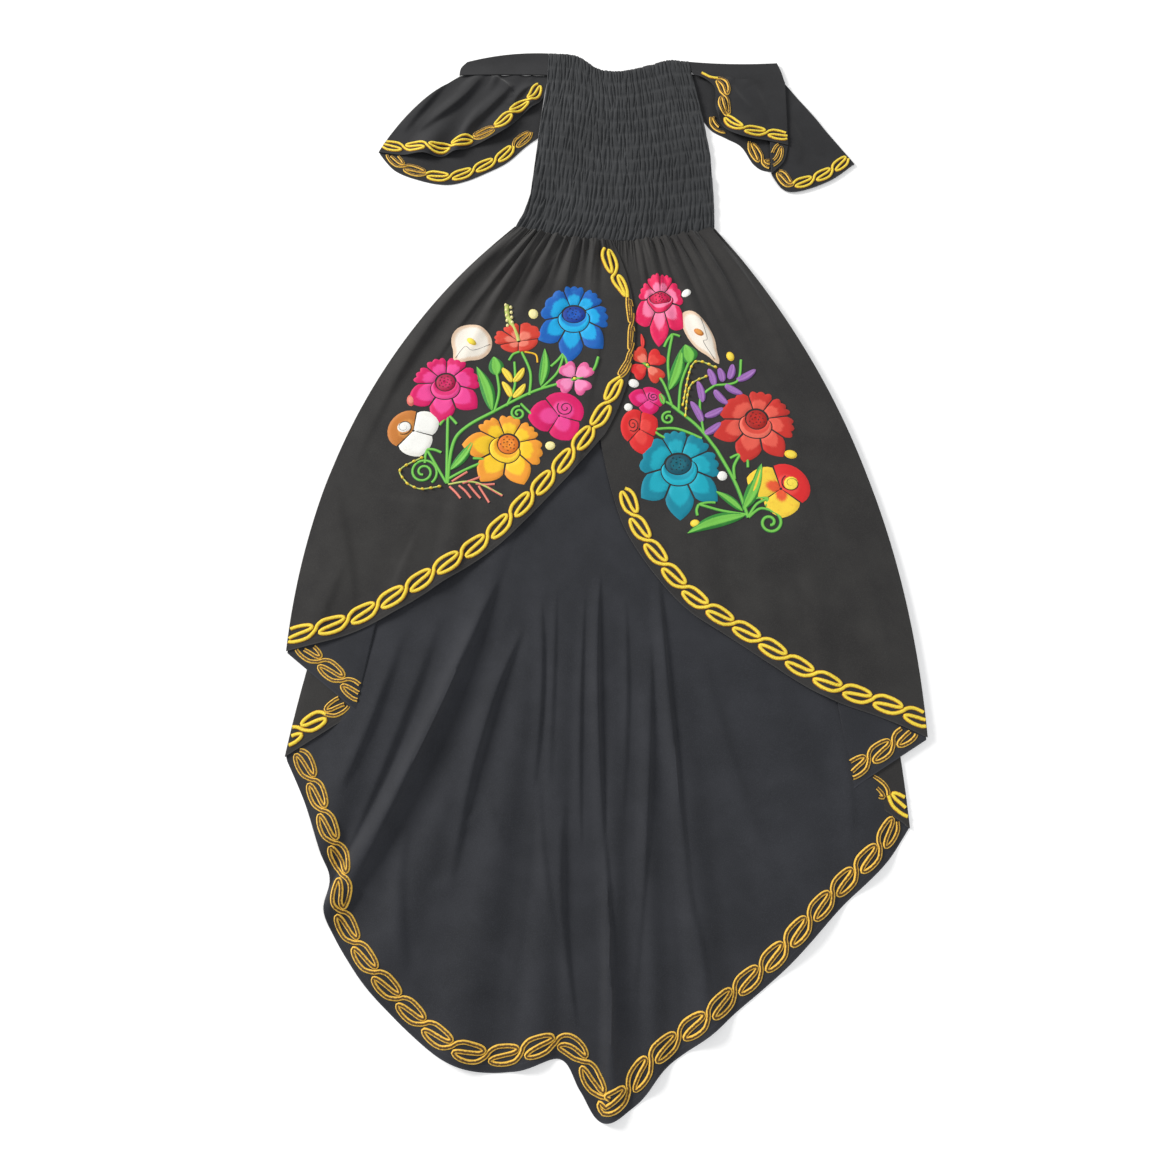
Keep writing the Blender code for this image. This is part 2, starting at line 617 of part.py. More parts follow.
def gather_relief(column, row):
    """Puffs of the shirring, high between its valleys and between its elastic rows."""
    if column % 2 == 0:
        return 0.0
    wave = math.sin(PUFF_TURN_ACROSS * column) * math.cos(PUFF_TURN_UP * row)
    uneven = PUFF_LEAST + (1.0 - PUFF_LEAST) * (1.0 + wave) / 2.0
    return GATHER_HEIGHT * uneven * (1.0 if row % 2 else ELASTIC_SHARE)


def bodice_panel(name, columns_count, rows_count, top_height, under_height, collection):
    """Front or back of the bodice: a face of given height at each column and row, flat below."""
    columns = []
    for column in range(columns_count + 1):
        points = []
        for row in range(rows_count + 1):
            x, y = bodice_place(column / columns_count, row / rows_count)
            points.append(Vector((x, y, top_height(column, row))))
        columns.append(points)
    mesh = grid_mesh(columns)
    lowered = set(extruded_vertices(mesh, mesh.faces[:]))
    for vertex in lowered:
        vertex.co.z = under_height
    flat = [face for face in mesh.faces if lowered.issuperset(face.verts)]
    bmesh.ops.dissolve_faces(mesh, faces=flat)
    return add_object(name, mesh, GREY_BLACK, BODICE_ROUGHNESS, collection)


def bodice_front(collection):
    top = BODICE_FRONT_UNDER + BODICE_FRONT_WALL

    def shirred(column, row):
        return top + gather_relief(column, row)

    columns_count, rows_count = 2 * BODICE_GATHERS, 2 * BODICE_ELASTICS
    return bodice_panel("bodice_front", columns_count, rows_count, shirred, BODICE_FRONT_UNDER, collection)


def bodice_back(collection):
    def level(column, row):
        return BODICE_BACK

    return bodice_panel("bodice_back", BACK_COLUMNS, BACK_ROWS, level, 0.0, collection)


class Ground:
    """The upper face of a panel, which embroidery is laid on."""

    def __init__(self, panel):
        self.tree = BVHTree.FromObject(panel, bpy.context.evaluated_depsgraph_get())

    def height(self, x, y):
        hit = self.tree.ray_cast(Vector((x, y, 1.0)), Vector((0.0, 0.0, -1.0)))
        if hit[0] is None:
            hit = self.tree.find_nearest(Vector((x, y, SIDE_LAYER)))
        return hit[0].z

    def clear_height(self, x, y, reach):
        """The highest point of the panel on and around a place."""
        heights = [self.height(x, y)]
        for step in range(CLEAR_DIRECTIONS):
            angle = 2.0 * math.pi * step / CLEAR_DIRECTIONS
            for distance in (reach / 2.0, reach):
                heights.append(self.height(x + distance * math.cos(angle), y + distance * math.sin(angle)))
        return max(heights)


def petal_reach(bloom, angle):
    """Share of a bloom's half width reached at an angle: lobes with notches between them."""
    if bloom.petals == 1:
        return 1.0 - bloom.notch * math.cos(angle) ** 2
    return 1.0 - 2.0 * bloom.notch * (1.0 - abs(math.sin(bloom.petals * angle / 2.0)))


def disc_mesh(segments):
    """A flat disc of radius 1 with one inner ring and a middle point."""
    mesh = bmesh.new()
    bmesh.ops.create_circle(mesh, segments=segments, radius=1.0, cap_ends=True)
    inset = (1.0 - BLOOM_RING) * math.cos(math.pi / segments)
    bmesh.ops.inset_region(mesh, faces=mesh.faces[:], thickness=inset)
    middle = min(mesh.faces, key=lambda face: face.calc_center_median().length)
    bmesh.ops.poke(mesh, faces=[middle])
    return mesh


def raised_motif(bloom, ground, collection):
    """One satin-stitched bloom or leaf, domed, laid just above its panel."""
    mesh = disc_mesh(LEAF_POINTS if bloom.petals == 1 else PETAL_POINTS * bloom.petals)
    faces = mesh.faces[:]
    size = max(bloom.width, bloom.height)
    cosine, sine = math.cos(bloom.turn), math.sin(bloom.turn)
    for vertex in mesh.verts:
        reach = petal_reach(bloom, math.atan2(vertex.co.y, vertex.co.x))
        u = vertex.co.x * reach * bloom.width / 2.0
        v = vertex.co.y * reach * bloom.height / 2.0
        x = bloom.x + u * cosine - v * sine
        y = bloom.y + u * sine + v * cosine
        vertex.co = (x, y, ground.clear_height(x, y, size * BLOOM_CLEARS) + THREAD_GAP)
    centre = Vector((bloom.x, bloom.y))
    for vertex in extruded_vertices(mesh, faces):
        share = (vertex.co.xy - centre).length * 2.0 / size
        vertex.co.z += BLOOM_HEIGHT * (1.0 - (1.0 - BLOOM_EDGE) * share)
    return add_object(bloom.name, mesh, bloom.colour, SATIN_ROUGHNESS, collection)


def raised_strip(name, inner, outer, ground, height, clears, colour, collection):
    """A raised strip between two lines of plan points, laid just above its panel."""
    columns = []
    for line in (inner, outer):
        heights = [ground.clear_height(place.x, place.y, clears) + THREAD_GAP for place in line]
        columns.append([Vector((place.x, place.y, z)) for place, z in zip(line, heights)])
    mesh = grid_mesh(columns)
    for vertex in extruded_vertices(mesh, mesh.faces[:]):
        vertex.co.z += height
    return add_object(name, mesh, colour, CORD_ROUGHNESS, collection)


def stem_strip(name, places, ground, collection):
    """A stem along a smooth curve through its plan points."""
    steps = STEM_STEPS * (len(places) - 1)
    middle = [Vector(table_value(places, step / STEM_STEPS)) for step in range(steps + 1)]
    inner, outer = [], []
    for number, place in enumerate(middle):
        ahead = middle[min(number + 1, steps)] - middle[max(number - 1, 0)]
        side = Vector((ahead.y, -ahead.x)).normalized() * STEM_WIDTH / 2.0
        inner.append(place - side)
        outer.append(place + side)
    return raised_strip(name, inner, outer, ground, STEM_HEIGHT, STEM_WIDTH, GREEN, collection)


def hem_point(layer, across, inset):
    """Plan point at a distance in from the hem, square to it."""
    last = len(layer.ribs) - 1
    hem = layer_point(layer, across, 1.0).xy
    ahead = layer_point(layer, min(across + HEM_STEP, last), 1.0).xy
    behind = layer_point(layer, max(across - HEM_STEP, 0.0), 1.0).xy
    edge = (ahead - behind).normalized()
    square = Vector((-edge.y, edge.x))
    if square.dot(layer_point(layer, across, 1.0 - HEM_STEP).xy - hem) < 0.0:
        square = -square
    return hem + square * inset


def opening_point(layer, along, inset):
    """Plan point at a distance in from a panel's last rib, its opening edge."""
    last = len(layer.ribs) - 1
    edge = layer_point(layer, last, along).xy
    down = (layer_point(layer, last, along + OPENING_STEP).xy - edge).normalized()
    return edge + Vector((down.y, -down.x)) * inset


def spaced_places(point_at, start, end, inset):
    """Places along a border, a fixed distance apart, with the distance of each from its start."""
    steps = [start + (end - start) * number / FINE_STEPS for number in range(FINE_STEPS + 1)]
    travelled, next_stop = 0.0, 0.0
    places = []
    previous = point_at(start, inset)
    for step in steps:
        here = point_at(step, inset)
        travelled += (here - previous).length
        previous = here
        if travelled >= next_stop:
            places.append((step, travelled))
            next_stop = travelled + STATION_SPACING
    return places


def border_strip(name, point_at, start, end, inset, wide, ground, collection):
    """A border that swells and narrows once for each scroll."""
    inner, outer = [], []
    for place, travelled in spaced_places(point_at, start, end, inset):
        swell = abs(math.sin(math.pi * travelled / SCROLL_PITCH))
        half = wide * (NECK_SHARE + (1.0 - NECK_SHARE) * swell)
        inner.append(point_at(place, inset + half))
        outer.append(point_at(place, inset - half))
    return raised_strip(name, inner, outer, ground, CORD_HEIGHT, CORD_CLEARS, YELLOW, collection)


def hem_border(border, layer, ground, collection):
    def point_at(across, inset):
        return hem_point(layer, across, inset)

    start, end, inset, wide = border.start, border.end, border.inset, border.wide
    return border_strip(border.name, point_at, start, end, inset, wide, ground, collection)


def opening_border(name, layer, ground, collection):
    def point_at(along, inset):
        return opening_point(layer, along, inset)

    start, end = OPENING_BORDER
    return border_strip(name, point_at, start, end, SKIRT_INSET, SKIRT_WIDE, ground, collection)


def add_embroidery(pieces, grounds, collection):
    for bloom in LEFT_BLOOMS:
        raised_motif(bloom, grounds["skirt_front_left"], collection)
    for bloom in RIGHT_BLOOMS:
        raised_motif(bloom, grounds["skirt_front_right"], collection)
    stem_strip("stem_left", LEFT_STEM, grounds["skirt_front_left"], collection)
    stem_strip("stem_right", RIGHT_STEM, grounds["skirt_front_right"], collection)
    for border in BORDERS:
        layer = pieces[border.piece][border.layer]
        hem_border(border, layer, grounds[border.piece], collection)
    opening_border("border_opening_left", FRONT_LEFT, grounds["skirt_front_left"], collection)


def build_dress():
    clear_scene()
    dress = make_collection("embroidered_dress")
    bodice_back(dress)
    bodice_front(dress)
    cloth_piece("shoulder_band_left", BAND_LEFT, SLEEVE_ROWS, BAND_WALL, BLACK, dress)
    cloth_piece("shoulder_band_right", BAND_RIGHT, SLEEVE_ROWS, BAND_WALL, BLACK, dress)
    pieces = {
        "flounce_left": FLOUNCE_LEFT,
        "flounce_right": FLOUNCE_RIGHT,
        "skirt_front_left": [FRONT_LEFT],
        "skirt_front_right": [FRONT_RIGHT],
        "skirt_back": SKIRT_BACK,
    }
    row_counts = {"skirt_back": TRAIN_ROWS, "skirt_front_left": SKIRT_ROWS, "skirt_front_right": SKIRT_ROWS}
    grounds = {}
    for name, layers in pieces.items():
        panel = cloth_piece(name, layers, row_counts.get(name, SLEEVE_ROWS), CLOTH, BLACK, dress)
        grounds[name] = Ground(panel)
    add_embroidery(pieces, grounds, dress)


build_dress()
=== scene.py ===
"""Looks of the embroidered dress: cloth shells with folds and creases, and raised embroidery."""
import math
from collections import namedtuple

import bpy
import numpy as np
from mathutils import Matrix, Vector
from mathutils.bvhtree import BVHTree


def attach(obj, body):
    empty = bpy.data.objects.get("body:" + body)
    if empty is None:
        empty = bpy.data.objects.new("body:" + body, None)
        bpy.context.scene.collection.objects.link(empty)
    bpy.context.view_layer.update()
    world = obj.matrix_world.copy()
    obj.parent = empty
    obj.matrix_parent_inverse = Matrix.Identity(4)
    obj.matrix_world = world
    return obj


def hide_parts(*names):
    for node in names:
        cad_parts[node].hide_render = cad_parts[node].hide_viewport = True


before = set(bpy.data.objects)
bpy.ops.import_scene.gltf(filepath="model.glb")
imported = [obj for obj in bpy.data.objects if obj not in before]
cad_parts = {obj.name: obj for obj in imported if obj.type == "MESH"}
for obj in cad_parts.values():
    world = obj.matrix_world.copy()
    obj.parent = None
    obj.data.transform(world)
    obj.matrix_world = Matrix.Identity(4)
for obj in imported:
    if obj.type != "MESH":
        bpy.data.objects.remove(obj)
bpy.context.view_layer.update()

# Waist and neckline, as in the solids
SEAM_GAP = 0.0004
WAIST_Y = 0.436
WAIST_DIP = 0.020
WAIST_MIDDLE = 0.024
WAIST_HALF = 0.146
NECK_Y = 0.760

# Heights of the middle of each cloth layer above the floor
FLOOR_LAYER = 0.0006
SECOND_LAYER = 0.0028
THIRD_LAYER = 0.0050
SLOPE_LAYER = 0.0056
SIDE_LAYER = 0.0066
UNDER_LAP = 0.0034
MIDDLE_LAYER = 0.0044
OVER_LAP = 0.0054
TOP_LAYER = 0.0066
BAND_BACK = 0.0012
BAND_FRONT = 0.0040
BAND_LOW = 0.0056

# Cloth shells
SHELL_WALL = 0.0008
BAND_SHELL = 0.0016
Fineness = namedtuple("Fineness", "rows per_rib")
SKIRT_MESH = Fineness(110, 26)
TRAIN_MESH = Fineness(150, 12)
SLEEVE_MESH = Fineness(56, 16)
BAND_MESH = Fineness(24, 16)
GROUND_MESH = Fineness(150, 12)
TURN_STEPS = 6
TURN_ROOM = 2
TURN_SHARE = 0.8
RIM_ANGLE = 60.0
CREASE_STEPS = 16
CREASE_STEEP = 0.45
CREASE_GENTLE = 1.5
CREASE_ENDS = 0.7
FAR_OFF = 9.0
LEFT_GATHERS = 34
LEFT_SEED = 3
RIGHT_GATHERS = 36
RIGHT_SEED = 4
GATHER_HEIGHTS = (0.0012, 0.0030)
GATHER_WIDTHS = (0.07, 0.15)
GATHER_REACHES = (0.03, 0.12)
PLACE_ROOM = (0.1, 0.9)

# Shirred bodice
BODICE_UNDER = 0.0020
BODICE_TOP = 0.0031
BODICE_PUFF = 0.0031
BODICE_COLUMNS = 340
BODICE_LINES = 190
BODICE_GATHERS = 44
ELASTIC_PINCH = 0.30
FRONT_SEED = 11
BACK_SEED = 12
ELASTIC_ROWS = 13
PUFF_LEAST = 0.86
PUFF_WAVES_ACROSS = (31.0, 2.0)
PUFF_WAVES_UP = (2.3, 9.0)
VALLEY_SLANT = 0.22
VALLEY_BEND = 0.3
VALLEY_WIDTHS = (0.16, 0.34)
VALLEY_LENGTHS = (0.55, 1.35)
VALLEY_DEPTHS = (0.45, 1.0)
BACK_TOP = 0.0016
BACK_HOLLOW = 0.0008

# Raised thread
THREAD_LIFT = 0.0002
PETAL_CROWN = 0.0012
PETAL_WAIST = 0.05
PETAL_COLUMNS = 13
PETAL_ROWS = 13
POINT_TOP = 1.16
POINT_FALL = 0.30
POINT_ROUND = 0.06
NOTCH_LOW = 0.90
NOTCH_SWELL = 0.12
NOTCH_ROUND = 0.30
SCALLOP_DEPTH = 0.075
SCALLOP_ROUND = 0.08
ROUND_FALL = 0.10
SATIN_SPREAD = 0.7
HEART_CROWN = 0.0011
HEART_COLUMNS = 33
HEART_ROWS = 7
DOT_COLUMNS = 13
DOT_ROWS = 5
DOT_CROWN = 0.0014
EDGE_SOFT = 0.6
LEAF_COLUMNS = 11
LEAF_ROWS = 17
LEAF_BEND = 0.05
LEAF_CROWN = 0.0014
POINTED = 0.80
LEAF_BELLY = 0.85
VEIN_DEPTH = 0.45
VEIN_WIDTH = 0.14
LEAF_ENDS = {"purple": 0.45, "lemon": 0.55}
CORD_COLUMNS = 7
CORD_SINK = 0.0004
COVERED_BY = 0.0012
SHORTEST_CORD = 10
STEM_CROWN = 0.0014
PATH_FINE = 24
PATH_SPACING = 0.0018
BEAD_SPACING = 0.0085
BEAD_LENGTH = 1.6
ARC_CORD = 0.7
CURL_STEPS = 60
CURL_IN = 0.80
PETAL_ARCH = 0.18
EYE_REACH = 0.29
EYE_FLAT = 0.90
EYE_RIM = 0.025
LIP_DEPTH = 0.25
PETAL_GAP = 0.03
ROSE_LIFT = 0.14
NARROW_LIFT = 0.25
LIP_START = 0.10
LIP_ANGLES = (176.0, 364.0)
EYE_DOTS = 15
EYE_DOT = (0.0017, 0.0034)
EYE_DOT_RISE = 0.0005
DOT_TURN = 2.4
DOTS_REACH = 0.80
SPADIX = (0.0100, 0.0190)
SPADIX_TURN = 0.9
OUTLINE_RISE = 0.0008
CALLA_REACH = 0.86
CALLA_SWELL = 0.05
CALLA_TIP = 0.36
CALLA_TIP_WIDTH = 0.34
CALLA_LIP = [(0.72, 0.36), (0.28, -0.30), (-0.10, -0.34), (-0.12, -0.98)]
CALLA_LINE = 0.0012
BUD_CURL = (0.28, 0.26)
BUD_CURL_REACH = 0.34
BUD_CURL_START = 2.4
BUD_CURL_TURNS = 1.7
BUD_CURL_IN = 0.85
BUD_CURL_STEPS = 40
BUD_WAIST = 0.05
BUD_HEART = (0.32, 0.36)
BUD_HEART_RISE = 0.0006
BUD_LINE = 0.0018
BUD_LINE_RISE = 0.0012
FAN_WAIST = 0.06
FAN_LIFT = -0.22
FOUR_WAIST = 0.14
STAMEN = [(0.0, -0.20), (-0.14, 0.60), (-0.36, 1.40), (-0.36, 2.10)]
STAMEN_WIDTH = 0.0070
STAMEN_DOTS = 9
STAMEN_DOT = (0.0046, 0.0054)
STAMEN_DOT_LINE = -0.30
STAMEN_DOT_SIDE = 0.10
STAMEN_DOT_START = 0.80
STAMEN_DOT_STEP = 0.16
SMALL_EYE = 0.0050

# Cord border
BORDER_CROWN = 0.0020
HEM_POINTS = 400
NORMAL_REACH = 0.012

# View
CAMERA_PLACE = (-0.038, -0.412, 1.165)
CAMERA_TILT = 15.0
LENS = 28.0
SENSOR = 36.0

# Cloth colours
BLACK_COLOUR = (0.019, 0.018, 0.018)
BLACK_FADED = (0.028, 0.027, 0.026)
WRONG_COLOUR = (0.0165, 0.0178, 0.0220)
WRONG_FADED = (0.0238, 0.0253, 0.0308)
BODICE_COLOUR = (0.0190, 0.0205, 0.0225)
BODICE_FADED = (0.0280, 0.0298, 0.0325)
SLEEVE_COLOUR = (0.0100, 0.0102, 0.0116)
SLEEVE_FADED = (0.0160, 0.0163, 0.0184)

# Cloth: its weave, patches of fading, lint, and the worn and stitched hem
WEAVE_PITCH = 0.0007
FADE_SCALE = 14.0
LINT_SCALE = 900.0
LINT_SHARE = 0.35
LINT_BRIGHT = 1.9
WORN_REACH = 0.0025
WORN_SHARE = 0.45
WORN_BRIGHT = 2.2
HEM_TURN = 0.0075
HEM_STEP = 0.0012
STITCH_WIDTH = 0.00035
STITCH_PITCH = 0.0026
STITCH_GAP = -0.3
STITCH_BRIGHT = 2.0

# How strong and deep the fine relief is, and how the surface shines
Look = namedtuple("Look", "relief depth roughness specular sheen sheen_roughness")
CLOTH_LOOK = Look(0.35, 0.0002, 0.88, 0.30, 0.20, 0.45)
THREAD_LOOK = Look(0.30, 0.0002, 0.55, 0.25, 0.10, 0.50)
CORD_LOOK = Look(0.50, 0.0003, 0.55, 0.25, 0.10, 0.50)

# Thread
STRAND = 0.0006
STREAK_SCALE = 1.4
DULL_SCALE = 160.0
GRAIN_SCALE = 420.0
CORD_TWIST = 0.0011
CORD_SLANT = 0.0012
FACE_MEET = (0.26, 0.42)
BACK_MEET = (0.15, 0.28)
CORD_BRIGHT = (0.960, 0.740, 0.060)
CORD_EDGE = (0.500, 0.200, 0.006)
CORD_BROWN = (0.060, 0.022, 0.006)
CORD_GOLD = (0.920, 0.560, 0.075)

# Floor and light: name, place, aimed at, size, power, colour
FLOOR_SIZE = 8.0
FLOOR_LEVEL = -0.0002
FLOOR_GRAIN = 300.0
FLOOR_ROUGHNESS = 0.9
FLOOR_COLOUR = (0.86, 0.86, 0.86)
FLOOR_LIGHT = (0.92, 0.92, 0.92)
FLOOR_GLOW = 0.22
LIGHTS = [
    ("key", (-4.2, 2.4, 2.2), (0.0, 0.0, 0.0), 2.0, 340.0, (1.0, 0.985, 0.96)),
    ("fill", (3.0, -2.5, 3.4), (0.0, 0.0, 0.0), 2.4, 70.0, (0.95, 0.97, 1.0)),
]
ROOM_COLOUR = (1.0, 1.0, 1.0)
ROOM_LIGHT = 0.50

# A rib is one line of cloth from its upper end to the hem, bowed by a distance at its middle.
Rib = namedtuple("Rib", "top_x top_y hem_x hem_y bow level")

# A fold stands on the ribs' own numbering. Its top height dies out at the reach, a share of the
# rib's length, and its hem height grows from there.
Fold = namedtuple("Fold", "at half_width top_height reach hem_height")

Layer = namedtuple("Layer", "ribs folds")


def waist_y(x):
    """Height of the waist seam, which dips towards the middle of the front."""
    share = (x - WAIST_MIDDLE) / WAIST_HALF
    return WAIST_Y - WAIST_DIP * (1.0 - share * share)


def skirt_rib(top_x, hem_x, hem_y, bow, level):
    """A rib that hangs from the waist seam."""
    return Rib(top_x, waist_y(top_x), hem_x, hem_y, bow, level)


# Skirt front, left: from the side seam to the opening edge
FRONT_LEFT = Layer(
    ribs=[
        skirt_rib(-0.1290, -0.4175, -0.2035, 0.072, SIDE_LAYER),
        skirt_rib(-0.1050, -0.3370, -0.1810, 0.054, SIDE_LAYER),
        skirt_rib(-0.0880, -0.2725, -0.1470, 0.038, SIDE_LAYER),
        skirt_rib(-0.0680, -0.2205, -0.1125, 0.024, SLOPE_LAYER),
        skirt_rib(-0.0450, -0.1410, -0.0560, 0.011, MIDDLE_LAYER),
        skirt_rib(-0.0220, -0.0600, 0.0300, 0.000, MIDDLE_LAYER),
        skirt_rib(0.0000, -0.0220, 0.0750, -0.015, OVER_LAP),
        skirt_rib(0.0160, 0.0030, 0.1050, -0.038, OVER_LAP),
    ],
    folds=[
        Fold(0.5, 0.5, 0.0040, 0.45, 0.0020),
        Fold(1.3, 0.40, 0.0055, 0.30, 0.0000),
        Fold(1.9, 0.42, 0.0062, 0.55, 0.0015),
        Fold(2.5, 0.26, 0.0040, 0.25, 0.0000),
        Fold(3.1, 0.42, 0.0062, 0.40, 0.0030),
        Fold(3.7, 0.26, 0.0036, 0.22, 0.0000),
        Fold(4.3, 0.42, 0.0062, 0.35, 0.0015),
        Fold(4.9, 0.26, 0.0040, 0.25, 0.0000),
        Fold(5.5, 0.36, 0.0052, 0.45, 0.0020),
        Fold(6.1, 0.30, 0.0030, 0.30, 0.0000),
    ],
)

# Skirt front, right: from its opening edge, hidden under the left front, to the side seam
FRONT_RIGHT = Layer(
    ribs=[
        skirt_rib(0.0000, 0.0100, 0.0250, 0.020, UNDER_LAP),
        skirt_rib(0.0180, 0.0290, -0.0350, 0.010, UNDER_LAP),
        skirt_rib(0.0360, 0.0680, -0.0985, 0.000, UNDER_LAP),
        skirt_rib(0.0560, 0.1140, -0.1500, -0.008, UNDER_LAP),
        skirt_rib(0.0780, 0.1780, -0.1940, -0.018, MIDDLE_LAYER),
        skirt_rib(0.1000, 0.2415, -0.2380, -0.030, SLOPE_LAYER),
        skirt_rib(0.1220, 0.2920, -0.2670, -0.042, SIDE_LAYER),
        skirt_rib(0.1460, 0.3545, -0.2900, -0.054, SIDE_LAYER),
        skirt_rib(0.1690, 0.4110, -0.3150, -0.065, SIDE_LAYER),
    ],
    folds=[
        Fold(2.9, 0.26, 0.0040, 0.30, 0.0000),
        Fold(3.5, 0.42, 0.0062, 0.40, 0.0025),
        Fold(4.1, 0.26, 0.0040, 0.25, 0.0000),
        Fold(4.7, 0.42, 0.0062, 0.45, 0.0015),
        Fold(5.3, 0.26, 0.0040, 0.30, 0.0000),
        Fold(5.9, 0.42, 0.0062, 0.40, 0.0030),
        Fold(6.5, 0.36, 0.0052, 0.25, 0.0000),
        Fold(7.4, 0.5, 0.0045, 0.50, 0.0020),
    ],
)

# Side folds of the skirt back, from each side seam in to the train
LEFT_SEAM = skirt_rib(-0.1270, -0.4160, -0.2060, 0.071, THIRD_LAYER)
LEFT_INNER = skirt_rib(-0.1080, -0.3210, -0.2815, 0.030, THIRD_LAYER)
LEFT_OUTER = skirt_rib(-0.1180, -0.4090, -0.3390, 0.045, SECOND_LAYER)
RIGHT_SEAM = skirt_rib(0.1675, 0.4095, -0.3180, -0.064, THIRD_LAYER)
RIGHT_INNER = skirt_rib(0.1550, 0.3110, -0.3780, -0.022, THIRD_LAYER)
RIGHT_OUTER = skirt_rib(0.1650, 0.3790, -0.4260, -0.050, SECOND_LAYER)

# The train, from its left outer fold to its right one
TRAIN = Layer(
    ribs=[
        LEFT_OUTER._replace(level=FLOOR_LAYER),
        skirt_rib(-0.1080, -0.3810, -0.3930, 0.030, FLOOR_LAYER),
        skirt_rib(-0.0970, -0.3550, -0.4530, 0.005, FLOOR_LAYER),
        skirt_rib(-0.0860, -0.3420, -0.4860, -0.030, FLOOR_LAYER),
        skirt_rib(-0.0750, -0.3440, -0.5250, -0.070, FLOOR_LAYER),
        skirt_rib(-0.0640, -0.3190, -0.5730, -0.070, FLOOR_LAYER),
        skirt_rib(-0.0520, -0.2660, -0.6330, -0.050, FLOOR_LAYER),
        skirt_rib(-0.0400, -0.2100, -0.6785, -0.030, FLOOR_LAYER),
        skirt_rib(-0.0280, -0.1590, -0.7000, -0.015, FLOOR_LAYER),
        skirt_rib(-0.0160, -0.1100, -0.7010, -0.005, FLOOR_LAYER),
        skirt_rib(-0.0040, -0.0570, -0.6880, 0.000, FLOOR_LAYER),
        skirt_rib(0.0080, -0.0330, -0.7220, 0.000, FLOOR_LAYER),
        skirt_rib(0.0200, -0.0080, -0.7540, 0.000, FLOOR_LAYER),
        skirt_rib(0.0320, 0.0340, -0.7350, 0.000, FLOOR_LAYER),
        skirt_rib(0.0440, 0.0640, -0.7000, 0.000, FLOOR_LAYER),
        skirt_rib(0.0560, 0.1080, -0.6700, 0.005, FLOOR_LAYER),
        skirt_rib(0.0700, 0.1560, -0.6350, 0.005, FLOOR_LAYER),
        skirt_rib(0.0860, 0.2125, -0.5910, 0.000, FLOOR_LAYER),
        skirt_rib(0.1040, 0.2730, -0.5320, -0.010, FLOOR_LAYER),
        skirt_rib(0.1240, 0.3140, -0.4965, -0.025, FLOOR_LAYER),
        skirt_rib(0.1450, 0.3520, -0.4610, -0.040, FLOOR_LAYER),
        RIGHT_OUTER._replace(level=FLOOR_LAYER),
    ],
    folds=[
        Fold(2.0, 1.0, 0.0, 0.45, 0.0070),
        Fold(4.0, 0.7, 0.0, 0.30, 0.0090),
        Fold(5.6, 0.6, 0.0, 0.45, 0.0050),
        Fold(7.5, 1.0, 0.0, 0.40, 0.0080),
        Fold(9.4, 0.6, 0.0, 0.45, 0.0060),
        Fold(12.3, 0.5, 0.0, 0.50, 0.0070),
        Fold(13.7, 0.7, 0.0, 0.42, 0.0060),
        Fold(15.3, 0.7, 0.0, 0.48, 0.0090),
        Fold(17.6, 1.0, 0.0, 0.55, 0.0060),
        Fold(19.5, 1.0, 0.0, 0.55, 0.0050),
    ],
)

SKIRT_BACK = [
    Layer([LEFT_SEAM, LEFT_INNER], []),
    Layer([LEFT_INNER._replace(level=SECOND_LAYER), LEFT_OUTER], []),
    TRAIN,
    Layer([RIGHT_OUTER, RIGHT_INNER._replace(level=SECOND_LAYER)], []),
    Layer([RIGHT_INNER, RIGHT_SEAM], []),
]

# Shoulder bands: their ribs run from the bodice outwards, the top edge is a fold
BAND_LEFT = [
    Layer([
        Rib(-0.0831, 0.7155, -0.2215, 0.7152, 0.001, BAND_LOW),
        Rib(-0.0821, 0.7400, -0.2195, 0.7300, 0.003, BAND_FRONT),
        Rib(-0.0815, 0.7590, -0.2100, 0.7420, 0.006, BAND_FRONT),
    ], []),
    Layer([
        Rib(-0.0815, 0.7590, -0.2100, 0.7420, 0.006, BAND_BACK),
        Rib(-0.0835, 0.7195, -0.2190, 0.7195, 0.001, BAND_BACK),
    ], []),
]
BAND_RIGHT = [
    Layer([
        Rib(0.1439, 0.7245, 0.2900, 0.7035, 0.006, BAND_FRONT),
        Rib(0.1423, 0.7335, 0.2860, 0.7220, 0.005, BAND_FRONT),
        Rib(0.1408, 0.7425, 0.2800, 0.7400, 0.003, BAND_FRONT),
    ], []),
    Layer([
        Rib(0.1408, 0.7425, 0.2800, 0.7400, 0.003, BAND_BACK),
        Rib(0.1442, 0.7260, 0.2885, 0.7055, 0.006, BAND_BACK),
    ], []),
]

